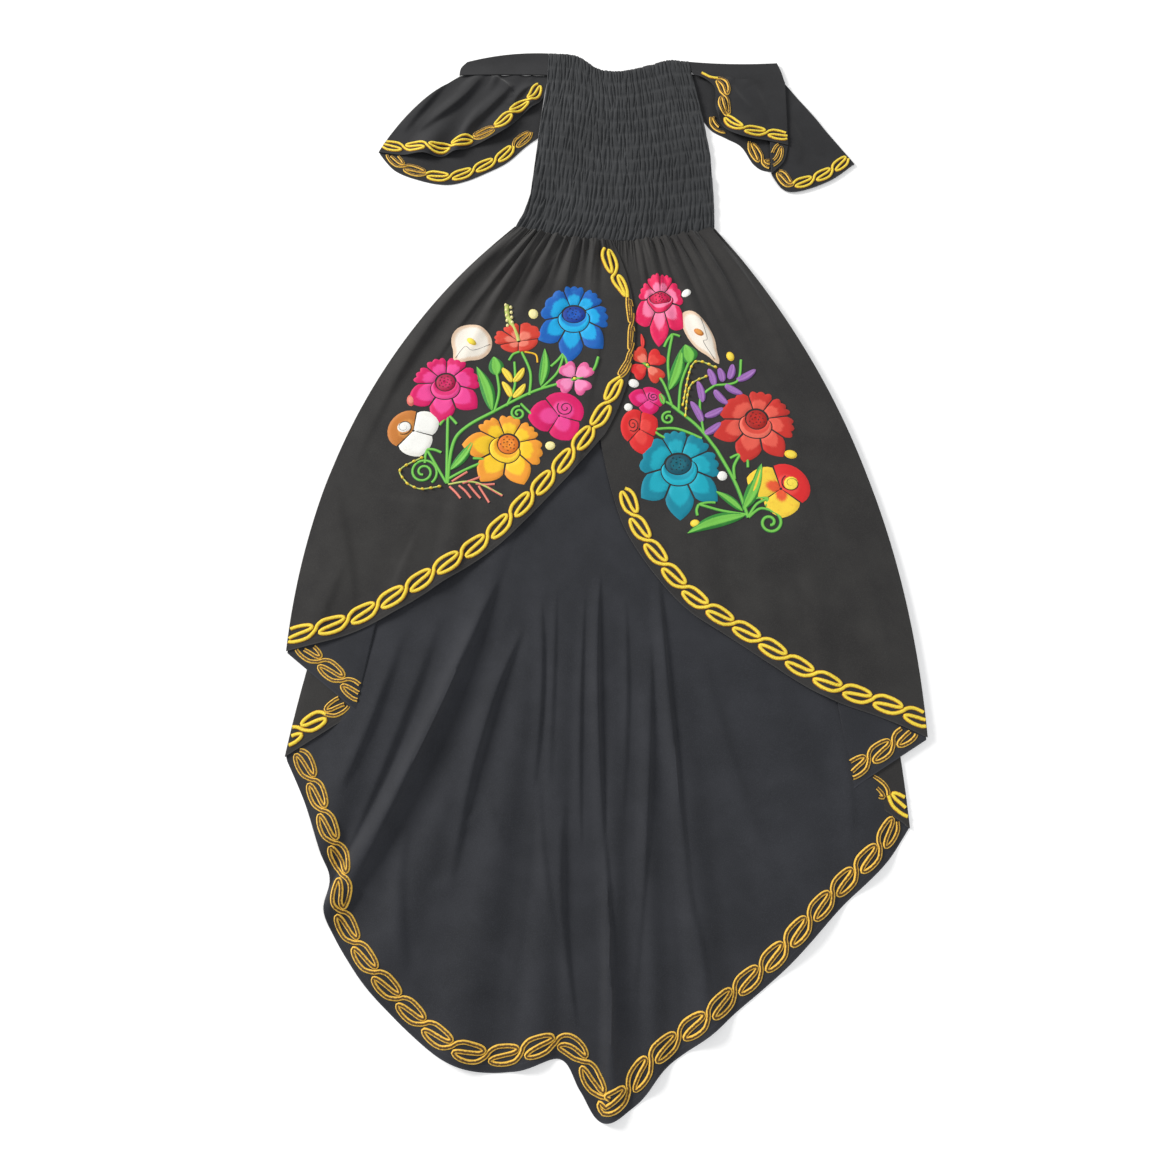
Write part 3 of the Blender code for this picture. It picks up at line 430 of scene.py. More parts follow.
# Left flounce: its front, then its back, which shows below it
FLOUNCE_LEFT = [
    Layer(
        ribs=[
            Rib(-0.0832, 0.7168, -0.0837, 0.7035, 0.0, SECOND_LAYER),
            Rib(-0.1000, 0.7165, -0.0930, 0.6700, 0.0, SECOND_LAYER),
            Rib(-0.1150, 0.7165, -0.1240, 0.6395, 0.0, SECOND_LAYER),
            Rib(-0.1330, 0.7165, -0.1510, 0.6080, 0.0, SECOND_LAYER),
            Rib(-0.1520, 0.7168, -0.2030, 0.5820, 0.0, SECOND_LAYER),
            Rib(-0.1700, 0.7170, -0.2425, 0.5660, 0.002, SECOND_LAYER),
            Rib(-0.1880, 0.7172, -0.2720, 0.5675, 0.005, SECOND_LAYER),
            Rib(-0.2050, 0.7172, -0.3090, 0.5695, 0.009, SECOND_LAYER),
            Rib(-0.2210, 0.7160, -0.3415, 0.5745, 0.013, SECOND_LAYER),
        ],
        folds=[
            Fold(1.5, 0.5, 0.0010, 0.2, 0.0040),
            Fold(3.0, 1.0, 0.0020, 0.3, 0.0070),
            Fold(4.5, 0.5, 0.0020, 0.3, 0.0060),
            Fold(6.0, 1.0, 0.0025, 0.3, 0.0080),
        ],
    ),
    Layer(
        ribs=[
            Rib(-0.2210, 0.7160, -0.3415, 0.5745, 0.013, FLOOR_LAYER),
            Rib(-0.1980, 0.7165, -0.3150, 0.5420, 0.006, FLOOR_LAYER),
            Rib(-0.1780, 0.7165, -0.2740, 0.5240, 0.0, FLOOR_LAYER),
            Rib(-0.1580, 0.7165, -0.2370, 0.5170, 0.0, FLOOR_LAYER),
            Rib(-0.1380, 0.7165, -0.2080, 0.5225, 0.0, FLOOR_LAYER),
            Rib(-0.1200, 0.7165, -0.1770, 0.5370, 0.0, FLOOR_LAYER),
            Rib(-0.1050, 0.7165, -0.1440, 0.5565, 0.0, FLOOR_LAYER),
            Rib(-0.0950, 0.7165, -0.1160, 0.5850, 0.0, FLOOR_LAYER),
            Rib(-0.0840, 0.7165, -0.0968, 0.6020, 0.0, FLOOR_LAYER),
        ],
        folds=[],
    ),
]

# Right flounce: it doubles under at the front's outer edge, out again and back to the bodice
RIGHT_EDGE = Rib(0.2900, 0.7015, 0.2880, 0.5840, 0.0, TOP_LAYER)
RIGHT_TUCK = Rib(0.2640, 0.7015, 0.2600, 0.5340, 0.0, THIRD_LAYER)
RIGHT_TIP = Rib(0.2915, 0.7005, 0.3885, 0.5530, 0.0, SECOND_LAYER)
FLOUNCE_RIGHT = [
    Layer(
        ribs=[
            Rib(0.1445, 0.7242, 0.1455, 0.7170, 0.0, TOP_LAYER),
            Rib(0.1610, 0.7215, 0.1640, 0.7090, 0.0, TOP_LAYER),
            Rib(0.1760, 0.7175, 0.1800, 0.6900, 0.0, TOP_LAYER),
            Rib(0.1950, 0.7130, 0.1790, 0.6550, 0.0, TOP_LAYER),
            Rib(0.2150, 0.7078, 0.1880, 0.6210, 0.0, TOP_LAYER),
            Rib(0.2360, 0.7038, 0.2140, 0.5985, 0.0, TOP_LAYER),
            Rib(0.2620, 0.7022, 0.2540, 0.5930, 0.0, TOP_LAYER),
            RIGHT_EDGE,
        ],
        folds=[Fold(3.5, 0.5, 0.0015, 0.3, 0.0040), Fold(5.0, 1.0, 0.0030, 0.5, 0.0050)],
    ),
    Layer(
        ribs=[
            RIGHT_EDGE._replace(level=THIRD_LAYER),
            Rib(0.2770, 0.7015, 0.2800, 0.5560, 0.0, THIRD_LAYER),
            RIGHT_TUCK,
        ],
        folds=[],
    ),
    Layer(
        ribs=[
            RIGHT_TUCK._replace(level=SECOND_LAYER),
            Rib(0.2700, 0.7015, 0.2770, 0.5065, 0.0, SECOND_LAYER),
            Rib(0.2770, 0.7012, 0.3040, 0.5045, 0.0, SECOND_LAYER),
            Rib(0.2845, 0.7010, 0.3510, 0.5240, 0.0, SECOND_LAYER),
            RIGHT_TIP,
        ],
        folds=[],
    ),
    Layer(
        ribs=[
            RIGHT_TIP._replace(level=FLOOR_LAYER),
            Rib(0.2700, 0.7010, 0.3300, 0.5400, 0.0, FLOOR_LAYER),
            Rib(0.2450, 0.7015, 0.2620, 0.5400, 0.0, FLOOR_LAYER),
            Rib(0.2250, 0.7045, 0.2365, 0.5510, 0.0, FLOOR_LAYER),
            Rib(0.2050, 0.7090, 0.2175, 0.5850, 0.0, FLOOR_LAYER),
            Rib(0.1850, 0.7140, 0.1960, 0.6000, 0.0, FLOOR_LAYER),
            Rib(0.1640, 0.7185, 0.1735, 0.6140, 0.0, FLOOR_LAYER),
            Rib(0.1450, 0.7215, 0.1606, 0.6325, 0.0, FLOOR_LAYER),
        ],
        folds=[],
    ),
]

# Bodice outline: height, left edge, right edge
BodiceRow = namedtuple("BodiceRow", "y left right")
BODICE_ROWS = [
    BodiceRow(0.434, -0.1300, 0.1690),
    BodiceRow(0.466, -0.1165, 0.1700),
    BodiceRow(0.500, -0.1070, 0.1700),
    BodiceRow(0.575, -0.0990, 0.1680),
    BodiceRow(0.640, -0.0920, 0.1600),
    BodiceRow(0.700, -0.0835, 0.1505),
    BodiceRow(0.750, -0.0815, 0.1420),
    BodiceRow(0.760, -0.0811, 0.1403),
]

# Neckline: place across from the left edge, height
NeckRow = namedtuple("NeckRow", "share y")
NECK_ROWS = [
    NeckRow(0.00, 0.7590),
    NeckRow(0.20, 0.7540),
    NeckRow(0.36, 0.7290),
    NeckRow(0.52, 0.7250),
    NeckRow(0.74, 0.7370),
    NeckRow(0.86, 0.7460),
    NeckRow(1.00, 0.7430),
]

# Creases listed one by one: a curve through three plan points, how wide and how high or deep
Crease = namedtuple("Crease", "start_x start_y middle_x middle_y end_x end_y width height")
CREASES_LEFT = [
    Crease(-0.122, 0.421, -0.219, 0.317, -0.308, 0.157, 0.010, 0.0035),
    Crease(-0.102, 0.421, -0.178, 0.317, -0.247, 0.201, 0.007, 0.0028),
    Crease(-0.080, 0.421, -0.124, 0.358, -0.166, 0.292, 0.006, 0.0035),
    Crease(-0.057, 0.421, -0.079, 0.367, -0.108, 0.317, 0.005, 0.0028),
    Crease(-0.032, 0.418, -0.044, 0.380, -0.053, 0.333, 0.005, 0.0028),
    Crease(-0.007, 0.414, -0.014, 0.380, -0.017, 0.333, 0.005, 0.0025),
    Crease(-0.139, 0.418, -0.263, 0.244, -0.348, 0.051, 0.014, 0.0028),
    Crease(-0.349, -0.079, -0.366, -0.134, -0.379, -0.175, 0.012, 0.0021),
    Crease(-0.251, -0.022, -0.275, -0.079, -0.292, -0.134, 0.012, -0.0017),
    Crease(-0.072, 0.090, -0.052, 0.094, -0.032, 0.102, 0.004, 0.0014),
    Crease(-0.321, 0.007, -0.238, 0.000, -0.169, -0.025, 0.010, 0.0014),
    Crease(-0.379, 0.051, -0.345, -0.079, -0.335, -0.151, 0.016, 0.0025),
    Crease(-0.003, 0.317, -0.006, 0.236, -0.021, 0.157, 0.009, 0.0017),
]
CREASES_RIGHT = [
    Crease(0.156, 0.425, 0.217, 0.333, 0.281, 0.188, 0.010, 0.0035),
    Crease(0.138, 0.425, 0.177, 0.350, 0.211, 0.268, 0.007, 0.0031),
    Crease(0.102, 0.421, 0.144, 0.350, 0.182, 0.276, 0.007, 0.0028),
    Crease(0.080, 0.421, 0.098, 0.387, 0.118, 0.343, 0.005, 0.0028),
    Crease(0.057, 0.418, 0.066, 0.390, 0.071, 0.358, 0.005, 0.0025),
    Crease(0.169, 0.414, 0.286, 0.268, 0.357, 0.036, 0.016, 0.0028),
    Crease(0.182, 0.276, 0.238, 0.172, 0.274, 0.081, 0.009, 0.0021),
    Crease(0.329, -0.022, 0.356, -0.134, 0.368, -0.241, 0.018, 0.0022),
    Crease(0.130, -0.058, 0.168, -0.120, 0.199, -0.178, 0.014, -0.0017),
    Crease(0.260, 0.073, 0.286, 0.007, 0.298, -0.079, 0.012, 0.0018),
    Crease(0.049, -0.022, 0.091, -0.079, 0.128, -0.114, 0.009, 0.0014),
    Crease(0.210, -0.079, 0.260, -0.134, 0.282, -0.202, 0.014, 0.0020),
]
CREASES_TRAIN = [
    Crease(-0.144, -0.107, -0.223, -0.302, -0.318, -0.508, 0.008, 0.0100),
    Crease(-0.218, -0.151, -0.270, -0.312, -0.324, -0.453, 0.013, 0.0050),
    Crease(-0.265, -0.178, -0.305, -0.306, -0.336, -0.380, 0.008, 0.0044),
    Crease(-0.109, -0.175, -0.157, -0.309, -0.193, -0.494, 0.008, 0.0069),
    Crease(-0.086, -0.134, -0.083, -0.254, -0.093, -0.380, 0.006, 0.0035),
    Crease(-0.065, -0.120, -0.068, -0.254, -0.073, -0.380, 0.005, 0.0025),
    Crease(-0.026, -0.120, -0.033, -0.293, -0.032, -0.453, 0.005, 0.0028),
    Crease(-0.006, -0.100, -0.010, -0.267, -0.001, -0.488, 0.006, 0.0060),
    Crease(-0.002, -0.441, 0.003, -0.591, 0.004, -0.715, 0.006, 0.0075),
    Crease(0.072, -0.104, 0.084, -0.293, 0.103, -0.546, 0.007, 0.0069),
    Crease(0.059, -0.188, 0.053, -0.380, 0.030, -0.635, 0.007, 0.0044),
    Crease(-0.052, -0.393, -0.055, -0.517, -0.037, -0.656, 0.006, 0.0047),
    Crease(-0.084, -0.368, -0.076, -0.476, -0.057, -0.568, 0.005, 0.0025),
    Crease(0.027, -0.134, 0.028, -0.267, 0.020, -0.417, 0.005, 0.0025),
    Crease(0.125, -0.202, 0.164, -0.356, 0.212, -0.500, 0.014, 0.0032),
    Crease(0.090, -0.476, 0.112, -0.568, 0.116, -0.635, 0.008, 0.0040),
    Crease(-0.150, -0.399, -0.137, -0.423, -0.120, -0.441, 0.005, 0.0025),
    Crease(-0.189, -0.429, -0.158, -0.407, -0.125, -0.402, 0.006, 0.0020),
    Crease(-0.146, -0.560, -0.115, -0.582, -0.081, -0.613, 0.007, 0.0032),
    Crease(-0.223, -0.511, -0.187, -0.488, -0.143, -0.517, 0.009, 0.0028),
    Crease(-0.251, -0.429, -0.253, -0.511, -0.242, -0.607, 0.009, 0.0035),
    Crease(-0.200, -0.624, -0.153, -0.607, -0.105, -0.624, 0.007, 0.0025),
    Crease(0.302, -0.293, 0.307, -0.380, 0.302, -0.453, 0.010, 0.0028),
    Crease(0.181, -0.393, 0.233, -0.368, 0.269, -0.393, 0.010, 0.0018),
]
CREASES_SLEEVE_LEFT = [
    Crease(-0.189, 0.712, -0.227, 0.660, -0.283, 0.614, 0.010, 0.0057),
    Crease(-0.136, 0.700, -0.172, 0.655, -0.214, 0.606, 0.010, 0.0053),
    Crease(-0.243, 0.704, -0.275, 0.658, -0.307, 0.610, 0.010, 0.0037),
    Crease(-0.180, 0.715, -0.153, 0.704, -0.137, 0.675, 0.006, 0.0033),
    Crease(-0.107, 0.700, -0.126, 0.681, -0.138, 0.658, 0.006, 0.0029),
    Crease(-0.102, 0.670, -0.125, 0.647, -0.156, 0.625, 0.006, 0.0024),
]
CREASES_SLEEVE_RIGHT = [
    Crease(0.205, 0.708, 0.211, 0.679, 0.236, 0.647, 0.012, 0.0022),
    Crease(0.238, 0.692, 0.252, 0.660, 0.255, 0.623, 0.012, 0.0017),
    Crease(0.196, 0.685, 0.190, 0.655, 0.201, 0.625, 0.012, 0.0014),
]
CREASES_SLEEVE_RIGHT_LOW = [
    Crease(0.312, 0.670, 0.337, 0.623, 0.336, 0.568, 0.014, 0.0021),
    Crease(0.294, 0.632, 0.307, 0.586, 0.297, 0.550, 0.011, 0.0017),
]

# Embroidery tables

# Light and dark thread of each shade, and the share of a petal where they meet
Shade = namedtuple("Shade", "light dark meet")
SHADES = {
    "blue": Shade((0.003, 0.400, 0.780), (0.003, 0.110, 0.460), 0.55),
    "blue_heart": Shade((0.003, 0.090, 0.480), (0.003, 0.040, 0.300), 0.60),
    "blue_lip": Shade((0.003, 0.230, 0.620), (0.004, 0.440, 0.800), 0.45),
    "magenta_lip": Shade((0.700, 0.008, 0.150), (0.850, 0.060, 0.290), 0.55),
    "yellow_lip": Shade((0.900, 0.400, 0.020), (0.940, 0.640, 0.030), 0.45),
    "red_lip": Shade((0.700, 0.060, 0.040), (0.860, 0.160, 0.110), 0.55),
    "teal_lip": Shade((0.004, 0.300, 0.420), (0.008, 0.440, 0.580), 0.50),
    "pale": Shade((0.920, 0.850, 0.420), (0.880, 0.780, 0.320), 0.70),
    "coral": Shade((0.900, 0.230, 0.160), (0.680, 0.050, 0.028), 0.55),
    "cream": Shade((0.900, 0.850, 0.760), (0.760, 0.560, 0.400), 0.82),
    "magenta": Shade((0.860, 0.060, 0.310), (0.680, 0.003, 0.125), 0.62),
    "magenta_heart": Shade((0.620, 0.003, 0.110), (0.420, 0.002, 0.060), 0.60),
    "white": Shade((0.900, 0.900, 0.860), (0.860, 0.850, 0.800), 0.80),
    "brown": Shade((0.700, 0.290, 0.060), (0.560, 0.190, 0.030), 0.60),
    "pink": Shade((0.900, 0.270, 0.520), (0.760, 0.120, 0.320), 0.75),
    "yellow": Shade((0.940, 0.600, 0.020), (0.880, 0.330, 0.030), 0.60),
    "yellow_heart": Shade((0.860, 0.260, 0.020), (0.740, 0.180, 0.012), 0.60),
    "rose": Shade((0.940, 0.220, 0.400), (0.760, 0.010, 0.100), 0.50),
    "rose_heart": Shade((0.760, 0.010, 0.100), (0.600, 0.006, 0.070), 0.60),
    "red": Shade((0.800, 0.110, 0.075), (0.580, 0.030, 0.022), 0.52),
    "red_heart": Shade((0.520, 0.020, 0.014), (0.400, 0.014, 0.010), 0.60),
    "scarlet": Shade((0.820, 0.060, 0.050), (0.700, 0.020, 0.022), 0.60),
    "teal": Shade((0.006, 0.400, 0.520), (0.002, 0.230, 0.330), 0.60),
    "teal_heart": Shade((0.002, 0.130, 0.180), (0.002, 0.080, 0.120), 0.60),
    "green": Shade((0.200, 0.600, 0.085), (0.030, 0.240, 0.035), 0.55),
    "purple": Shade((0.380, 0.170, 0.500), (0.250, 0.095, 0.370), 0.60),
    "salmon": Shade((0.830, 0.260, 0.200), (0.700, 0.140, 0.110), 0.60),
    "flame": Shade((0.820, 0.070, 0.030), (0.930, 0.640, 0.050), 0.42),
    "lemon": Shade((0.930, 0.740, 0.080), (0.850, 0.560, 0.030), 0.70),
    "lime": Shade((0.600, 0.680, 0.180), (0.330, 0.420, 0.080), 0.60),
    "outline": Shade((0.012, 0.012, 0.014), (0.010, 0.010, 0.012), 0.60),
}

# A petal between two angles in degrees: how far it reaches, its tip, and which of the two threads
Petal = namedtuple("Petal", "start end reach tip finish")
ROSE_SEVEN = [
    Petal(66, 113, 1.00, "scallop", 0),
    Petal(20, 63, 1.00, "scallop", 0),
    Petal(-26, 17, 1.00, "scallop", 0),
    Petal(-71, -29, 1.00, "point", 0),
    Petal(-118, -74, 1.02, "point", 0),
    Petal(-168, -121, 1.00, "point", 0),
    Petal(116, 189, 1.00, "scallop", 0),
]
ROSE_SIX = [
    Petal(44, 88, 1.00, "scallop", 0),
    Petal(-14, 41, 1.00, "scallop", 0),
    Petal(-68, -17, 1.00, "point", 0),
    Petal(-118, -71, 1.03, "point", 0),
    Petal(-176, -121, 1.00, "point", 0),
    Petal(91, 136, 1.00, "scallop", 0),
    Petal(139, 181, 0.98, "scallop", 0),
]
BUD = [
    Petal(-22, 118, 1.00, "round", 0),
    Petal(122, 232, 1.05, "point", 1),
    Petal(236, 334, 1.05, "point", 1),
]
FAN = [
    Petal(8, 82, 1.00, "scallop", 0),
    Petal(86, 128, 0.92, "scallop", 0),
    Petal(132, 186, 1.00, "scallop", 0),
    Petal(190, 262, 0.90, "round", 0),
    Petal(266, 364, 0.86, "round", 0),
]
FOUR = [
    Petal(52, 128, 1.00, "heart", 0),
    Petal(-34, 44, 1.00, "heart", 1),
    Petal(-122, -50, 1.00, "heart", 0),
    Petal(142, 222, 0.94, "heart", 1),
]

# Threads of a bloom, and the name of its slot
Palette = namedtuple("Palette", "petal second heart lip slot")
PALETTES = {
    "amber": Palette("scarlet", "flame", "lemon", "lemon", "thread_amber"),
    "blue": Palette("blue", "blue", "blue_heart", "blue_lip", "thread_blue"),
    "brown": Palette("brown", "white", "white", "white", "thread_brown"),
    "coral": Palette("coral", "coral", "lime", "coral", "thread_coral"),
    "cream": Palette("cream", "cream", "brown", "cream", "thread_cream"),
    "magenta": Palette("magenta", "magenta", "magenta_heart", "magenta_lip", "thread_magenta"),
    "pink": Palette("pink", "pink", "pink", "pink", "thread_rose"),
    "plain_magenta": Palette("magenta", "magenta", "magenta", "magenta", "thread_magenta"),
    "red": Palette("red", "red", "red_heart", "red_lip", "thread_red"),
    "rose": Palette("rose", "rose", "rose_heart", "rose", "thread_rose"),
    "scarlet": Palette("scarlet", "scarlet", "scarlet", "scarlet", "thread_red"),
    "teal": Palette("teal", "teal", "teal_heart", "teal_lip", "thread_teal"),
    "two_reds": Palette("coral", "scarlet", "coral", "coral", "thread_red"),
    "white": Palette("cream", "cream", "lemon", "cream", "thread_cream"),
    "yellow": Palette("yellow", "yellow", "yellow_heart", "yellow_lip", "thread_amber"),
}

# One bloom: its place, size, turn and kind, and the palette of its threads
Bloom = namedtuple("Bloom", "name x y width height turn kind palette")
LEFT_BLOOMS = [
    Bloom("rose_blue", -0.041, 0.283, 0.100, 0.112, 0.0, "rose", "blue"),
    Bloom("hibiscus_coral", -0.121, 0.254, 0.070, 0.052, 0.1, "fan", "coral"),
    Bloom("calla_white", -0.188, 0.246, 0.066, 0.068, -0.6, "calla", "white"),
    Bloom("rose_magenta", -0.223, 0.176, 0.098, 0.092, 0.0, "rose_six", "magenta"),
    Bloom("bud_brown", -0.267, 0.108, 0.066, 0.070, 1.9, "bud", "brown"),
    Bloom("bud_magenta", -0.062, 0.134, 0.072, 0.070, 0.1, "bud", "plain_magenta"),
    Bloom("flower_pink", -0.040, 0.190, 0.060, 0.056, 0.6, "four", "pink"),
    Bloom("rose_yellow", -0.136, 0.083, 0.106, 0.098, -0.5, "rose_six", "yellow"),
]
RIGHT_BLOOMS = [
    Bloom("rose_pink", 0.085, 0.306, 0.068, 0.106, 0.0, "rose_six", "rose"),
    Bloom("calla_cream", 0.139, 0.262, 0.038, 0.098, 0.5, "calla", "cream"),
    Bloom("flower_red", 0.064, 0.212, 0.056, 0.062, 0.6, "four", "two_reds"),
    Bloom("bud_rose", 0.064, 0.158, 0.046, 0.040, -0.2, "bud", "plain_magenta"),
    Bloom("bud_red", 0.050, 0.112, 0.064, 0.050, 1.8, "bud", "scarlet"),
    Bloom("rose_red", 0.214, 0.119, 0.108, 0.100, -0.2, "rose", "red"),
    Bloom("rose_teal", 0.105, 0.050, 0.112, 0.120, 0.1, "rose", "teal"),
    Bloom("bud_amber", 0.244, 0.024, 0.080, 0.072, -0.3, "bud", "amber"),
]

# A stem is a smooth curve through three plan points
Stem = namedtuple("Stem", "start_x start_y middle_x middle_y end_x end_y width finish")
LEFT_STEMS = [
    Stem(-0.216, 0.030, -0.217, 0.078, -0.218, 0.130, 0.0054, "green"),
    Stem(-0.215, 0.030, -0.205, 0.100, -0.153, 0.139, 0.0060, "green"),
    Stem(-0.153, 0.139, -0.100, 0.169, -0.046, 0.187, 0.0054, "green"),
    Stem(-0.046, 0.187, -0.016, 0.199, -0.006, 0.223, 0.0050, "green"),
    Stem(-0.153, 0.139, -0.147, 0.169, -0.152, 0.203, 0.0050, "green"),
    Stem(-0.104, 0.164, -0.103, 0.199, -0.116, 0.232, 0.0050, "green"),
    Stem(-0.087, 0.175, -0.065, 0.199, -0.056, 0.226, 0.0048, "green"),
    Stem(-0.136, 0.147, -0.125, 0.178, -0.126, 0.216, 0.0046, "green"),
    Stem(-0.217, 0.032, -0.231, 0.056, -0.244, 0.078, 0.0050, "green"),
    Stem(-0.216, 0.036, -0.191, 0.050, -0.165, 0.063, 0.0050, "green"),
    Stem(-0.116, 0.151, -0.099, 0.133, -0.092, 0.128, 0.0048, "green"),
    Stem(-0.214, 0.029, -0.177, 0.032, -0.140, 0.014, 0.0034, "lime"),
    Stem(-0.209, 0.033, -0.197, 0.041, -0.188, 0.047, 0.0036, "salmon"),
    Stem(-0.194, 0.030, -0.177, 0.037, -0.162, 0.045, 0.0036, "salmon"),
    Stem(-0.176, 0.030, -0.163, 0.029, -0.150, 0.030, 0.0036, "salmon"),
    Stem(-0.212, 0.026, -0.203, 0.017, -0.196, 0.008, 0.0036, "salmon"),
    Stem(-0.199, 0.027, -0.190, 0.019, -0.182, 0.009, 0.0036, "salmon"),
    Stem(-0.186, 0.029, -0.178, 0.019, -0.169, 0.009, 0.0036, "salmon"),
    Stem(-0.172, 0.027, -0.165, 0.016, -0.157, 0.003, 0.0036, "salmon"),
    Stem(-0.160, 0.026, -0.151, 0.020, -0.139, 0.013, 0.0036, "salmon"),
    Stem(-0.229, 0.117, -0.223, 0.126, -0.218, 0.133, 0.0052, "green"),
    Stem(-0.205, 0.119, -0.212, 0.127, -0.218, 0.133, 0.0052, "green"),
    Stem(-0.074, 0.209, -0.064, 0.219, -0.056, 0.230, 0.0050, "green"),
    Stem(-0.049, 0.207, -0.052, 0.219, -0.056, 0.230, 0.0050, "green"),
    Stem(-0.247, 0.060, -0.247, 0.070, -0.245, 0.081, 0.0050, "green"),
    Stem(-0.225, 0.076, -0.235, 0.080, -0.245, 0.081, 0.0050, "green"),
    Stem(-0.181, 0.067, -0.171, 0.067, -0.161, 0.064, 0.0048, "green"),
    Stem(-0.165, 0.051, -0.162, 0.058, -0.161, 0.064, 0.0048, "green"),
    Stem(-0.134, 0.218, -0.128, 0.228, -0.119, 0.232, 0.0046, "green"),
    Stem(-0.093, 0.215, -0.096, 0.228, -0.112, 0.232, 0.0030, "yellow"),
]
RIGHT_STEMS = [
    Stem(0.197, -0.019, 0.182, 0.031, 0.158, 0.081, 0.0060, "green"),
    Stem(0.158, 0.081, 0.133, 0.116, 0.098, 0.148, 0.0058, "green"),
    Stem(0.098, 0.148, 0.083, 0.190, 0.048, 0.225, 0.0050, "green"),
    Stem(0.096, 0.177, 0.094, 0.217, 0.101, 0.258, 0.0050, "green"),
    Stem(0.107, 0.141, 0.112, 0.184, 0.127, 0.223, 0.0050, "green"),
    Stem(0.141, 0.106, 0.138, 0.157, 0.159, 0.179, 0.0046, "green"),
    Stem(0.159, 0.179, 0.191, 0.185, 0.198, 0.218, 0.0046, "green"),
    Stem(0.138, 0.098, 0.103, 0.113, 0.070, 0.112, 0.0052, "green"),
    Stem(0.181, 0.037, 0.181, 0.056, 0.190, 0.073, 0.0052, "green"),
    Stem(0.197, -0.015, 0.163, -0.009, 0.131, 0.000, 0.0050, "green"),
    Stem(0.197, -0.018, 0.209, 0.000, 0.224, 0.008, 0.0050, "green"),
    Stem(0.107, 0.141, 0.095, 0.151, 0.084, 0.157, 0.0050, "green"),
    Stem(0.197, -0.019, 0.214, -0.006, 0.232, -0.010, 0.0050, "green"),
    Stem(0.089, 0.240, 0.094, 0.251, 0.101, 0.260, 0.0048, "green"),
    Stem(0.112, 0.257, 0.107, 0.259, 0.101, 0.260, 0.0048, "green"),
    Stem(0.176, 0.068, 0.186, 0.073, 0.197, 0.074, 0.0050, "green"),
    Stem(0.200, 0.054, 0.200, 0.064, 0.197, 0.074, 0.0050, "green"),
    Stem(0.128, -0.016, 0.127, -0.008, 0.130, 0.000, 0.0048, "green"),
    Stem(0.153, 0.003, 0.142, 0.003, 0.130, 0.000, 0.0048, "green"),
    Stem(0.205, 0.008, 0.215, 0.010, 0.225, 0.009, 0.0048, "green"),
    Stem(0.222, -0.003, 0.224, 0.003, 0.225, 0.009, 0.0048, "green"),
    Stem(0.068, 0.128, 0.066, 0.119, 0.070, 0.111, 0.0048, "green"),
    Stem(0.090, 0.098, 0.080, 0.103, 0.070, 0.111, 0.0048, "green"),
]

Leaf = namedtuple("Leaf", "base_x base_y tip_x tip_y width finish")
LEFT_LEAVES = [
    Leaf(-0.156, 0.139, -0.180, 0.208, 0.019, "green"),
    Leaf(-0.088, 0.178, -0.083, 0.238, 0.015, "green"),
    Leaf(-0.212, 0.050, -0.180, 0.096, 0.014, "green"),
    Leaf(-0.151, 0.194, -0.156, 0.224, 0.022, "green"),
    Leaf(-0.129, 0.184, -0.145, 0.207, 0.010, "lemon"),
    Leaf(-0.127, 0.184, -0.112, 0.207, 0.010, "lemon"),
    Leaf(-0.129, 0.160, -0.143, 0.185, 0.010, "lemon"),
    Leaf(-0.127, 0.160, -0.110, 0.182, 0.010, "lemon"),
]
RIGHT_LEAVES = [
    Leaf(0.194, -0.015, 0.113, -0.041, 0.019, "green"),
    Leaf(0.190, -0.008, 0.219, 0.060, 0.020, "green"),
    Leaf(0.094, 0.172, 0.114, 0.238, 0.019, "green"),
    Leaf(0.190, -0.010, 0.153, 0.020, 0.012, "green"),
    Leaf(0.125, 0.214, 0.119, 0.244, 0.026, "green"),
    Leaf(0.086, 0.150, 0.080, 0.168, 0.012, "green"),
    Leaf(0.141, 0.153, 0.135, 0.186, 0.011, "purple"),
    Leaf(0.140, 0.122, 0.124, 0.155, 0.011, "purple"),
    Leaf(0.159, 0.178, 0.151, 0.205, 0.011, "purple"),
    Leaf(0.171, 0.184, 0.166, 0.206, 0.011, "purple"),
    Leaf(0.180, 0.188, 0.186, 0.212, 0.011, "purple"),
    Leaf(0.190, 0.186, 0.218, 0.202, 0.011, "purple"),
    Leaf(0.173, 0.180, 0.198, 0.165, 0.011, "purple"),
    Leaf(0.158, 0.172, 0.177, 0.149, 0.011, "purple"),
    Leaf(0.143, 0.131, 0.170, 0.144, 0.011, "purple"),
    Leaf(0.141, 0.104, 0.166, 0.122, 0.011, "purple"),
    Leaf(0.058, 0.238, 0.056, 0.262, 0.006, "scarlet"),
]

Spiral = namedtuple("Spiral", "x y radius start turns width finish")
LEFT_SPIRALS = [
    Spiral(-0.249, 0.047, 0.020, -0.9, 1.9, 0.0046, "green"),
    Spiral(-0.119, 0.136, 0.011, 1.4, 1.5, 0.0048, "green"),
]
RIGHT_SPIRALS = [
    Spiral(0.226, -0.026, 0.017, 1.5, -1.5, 0.0054, "green"),
    Spiral(0.092, 0.129, 0.010, 1.2, 1.4, 0.0048, "green"),
]

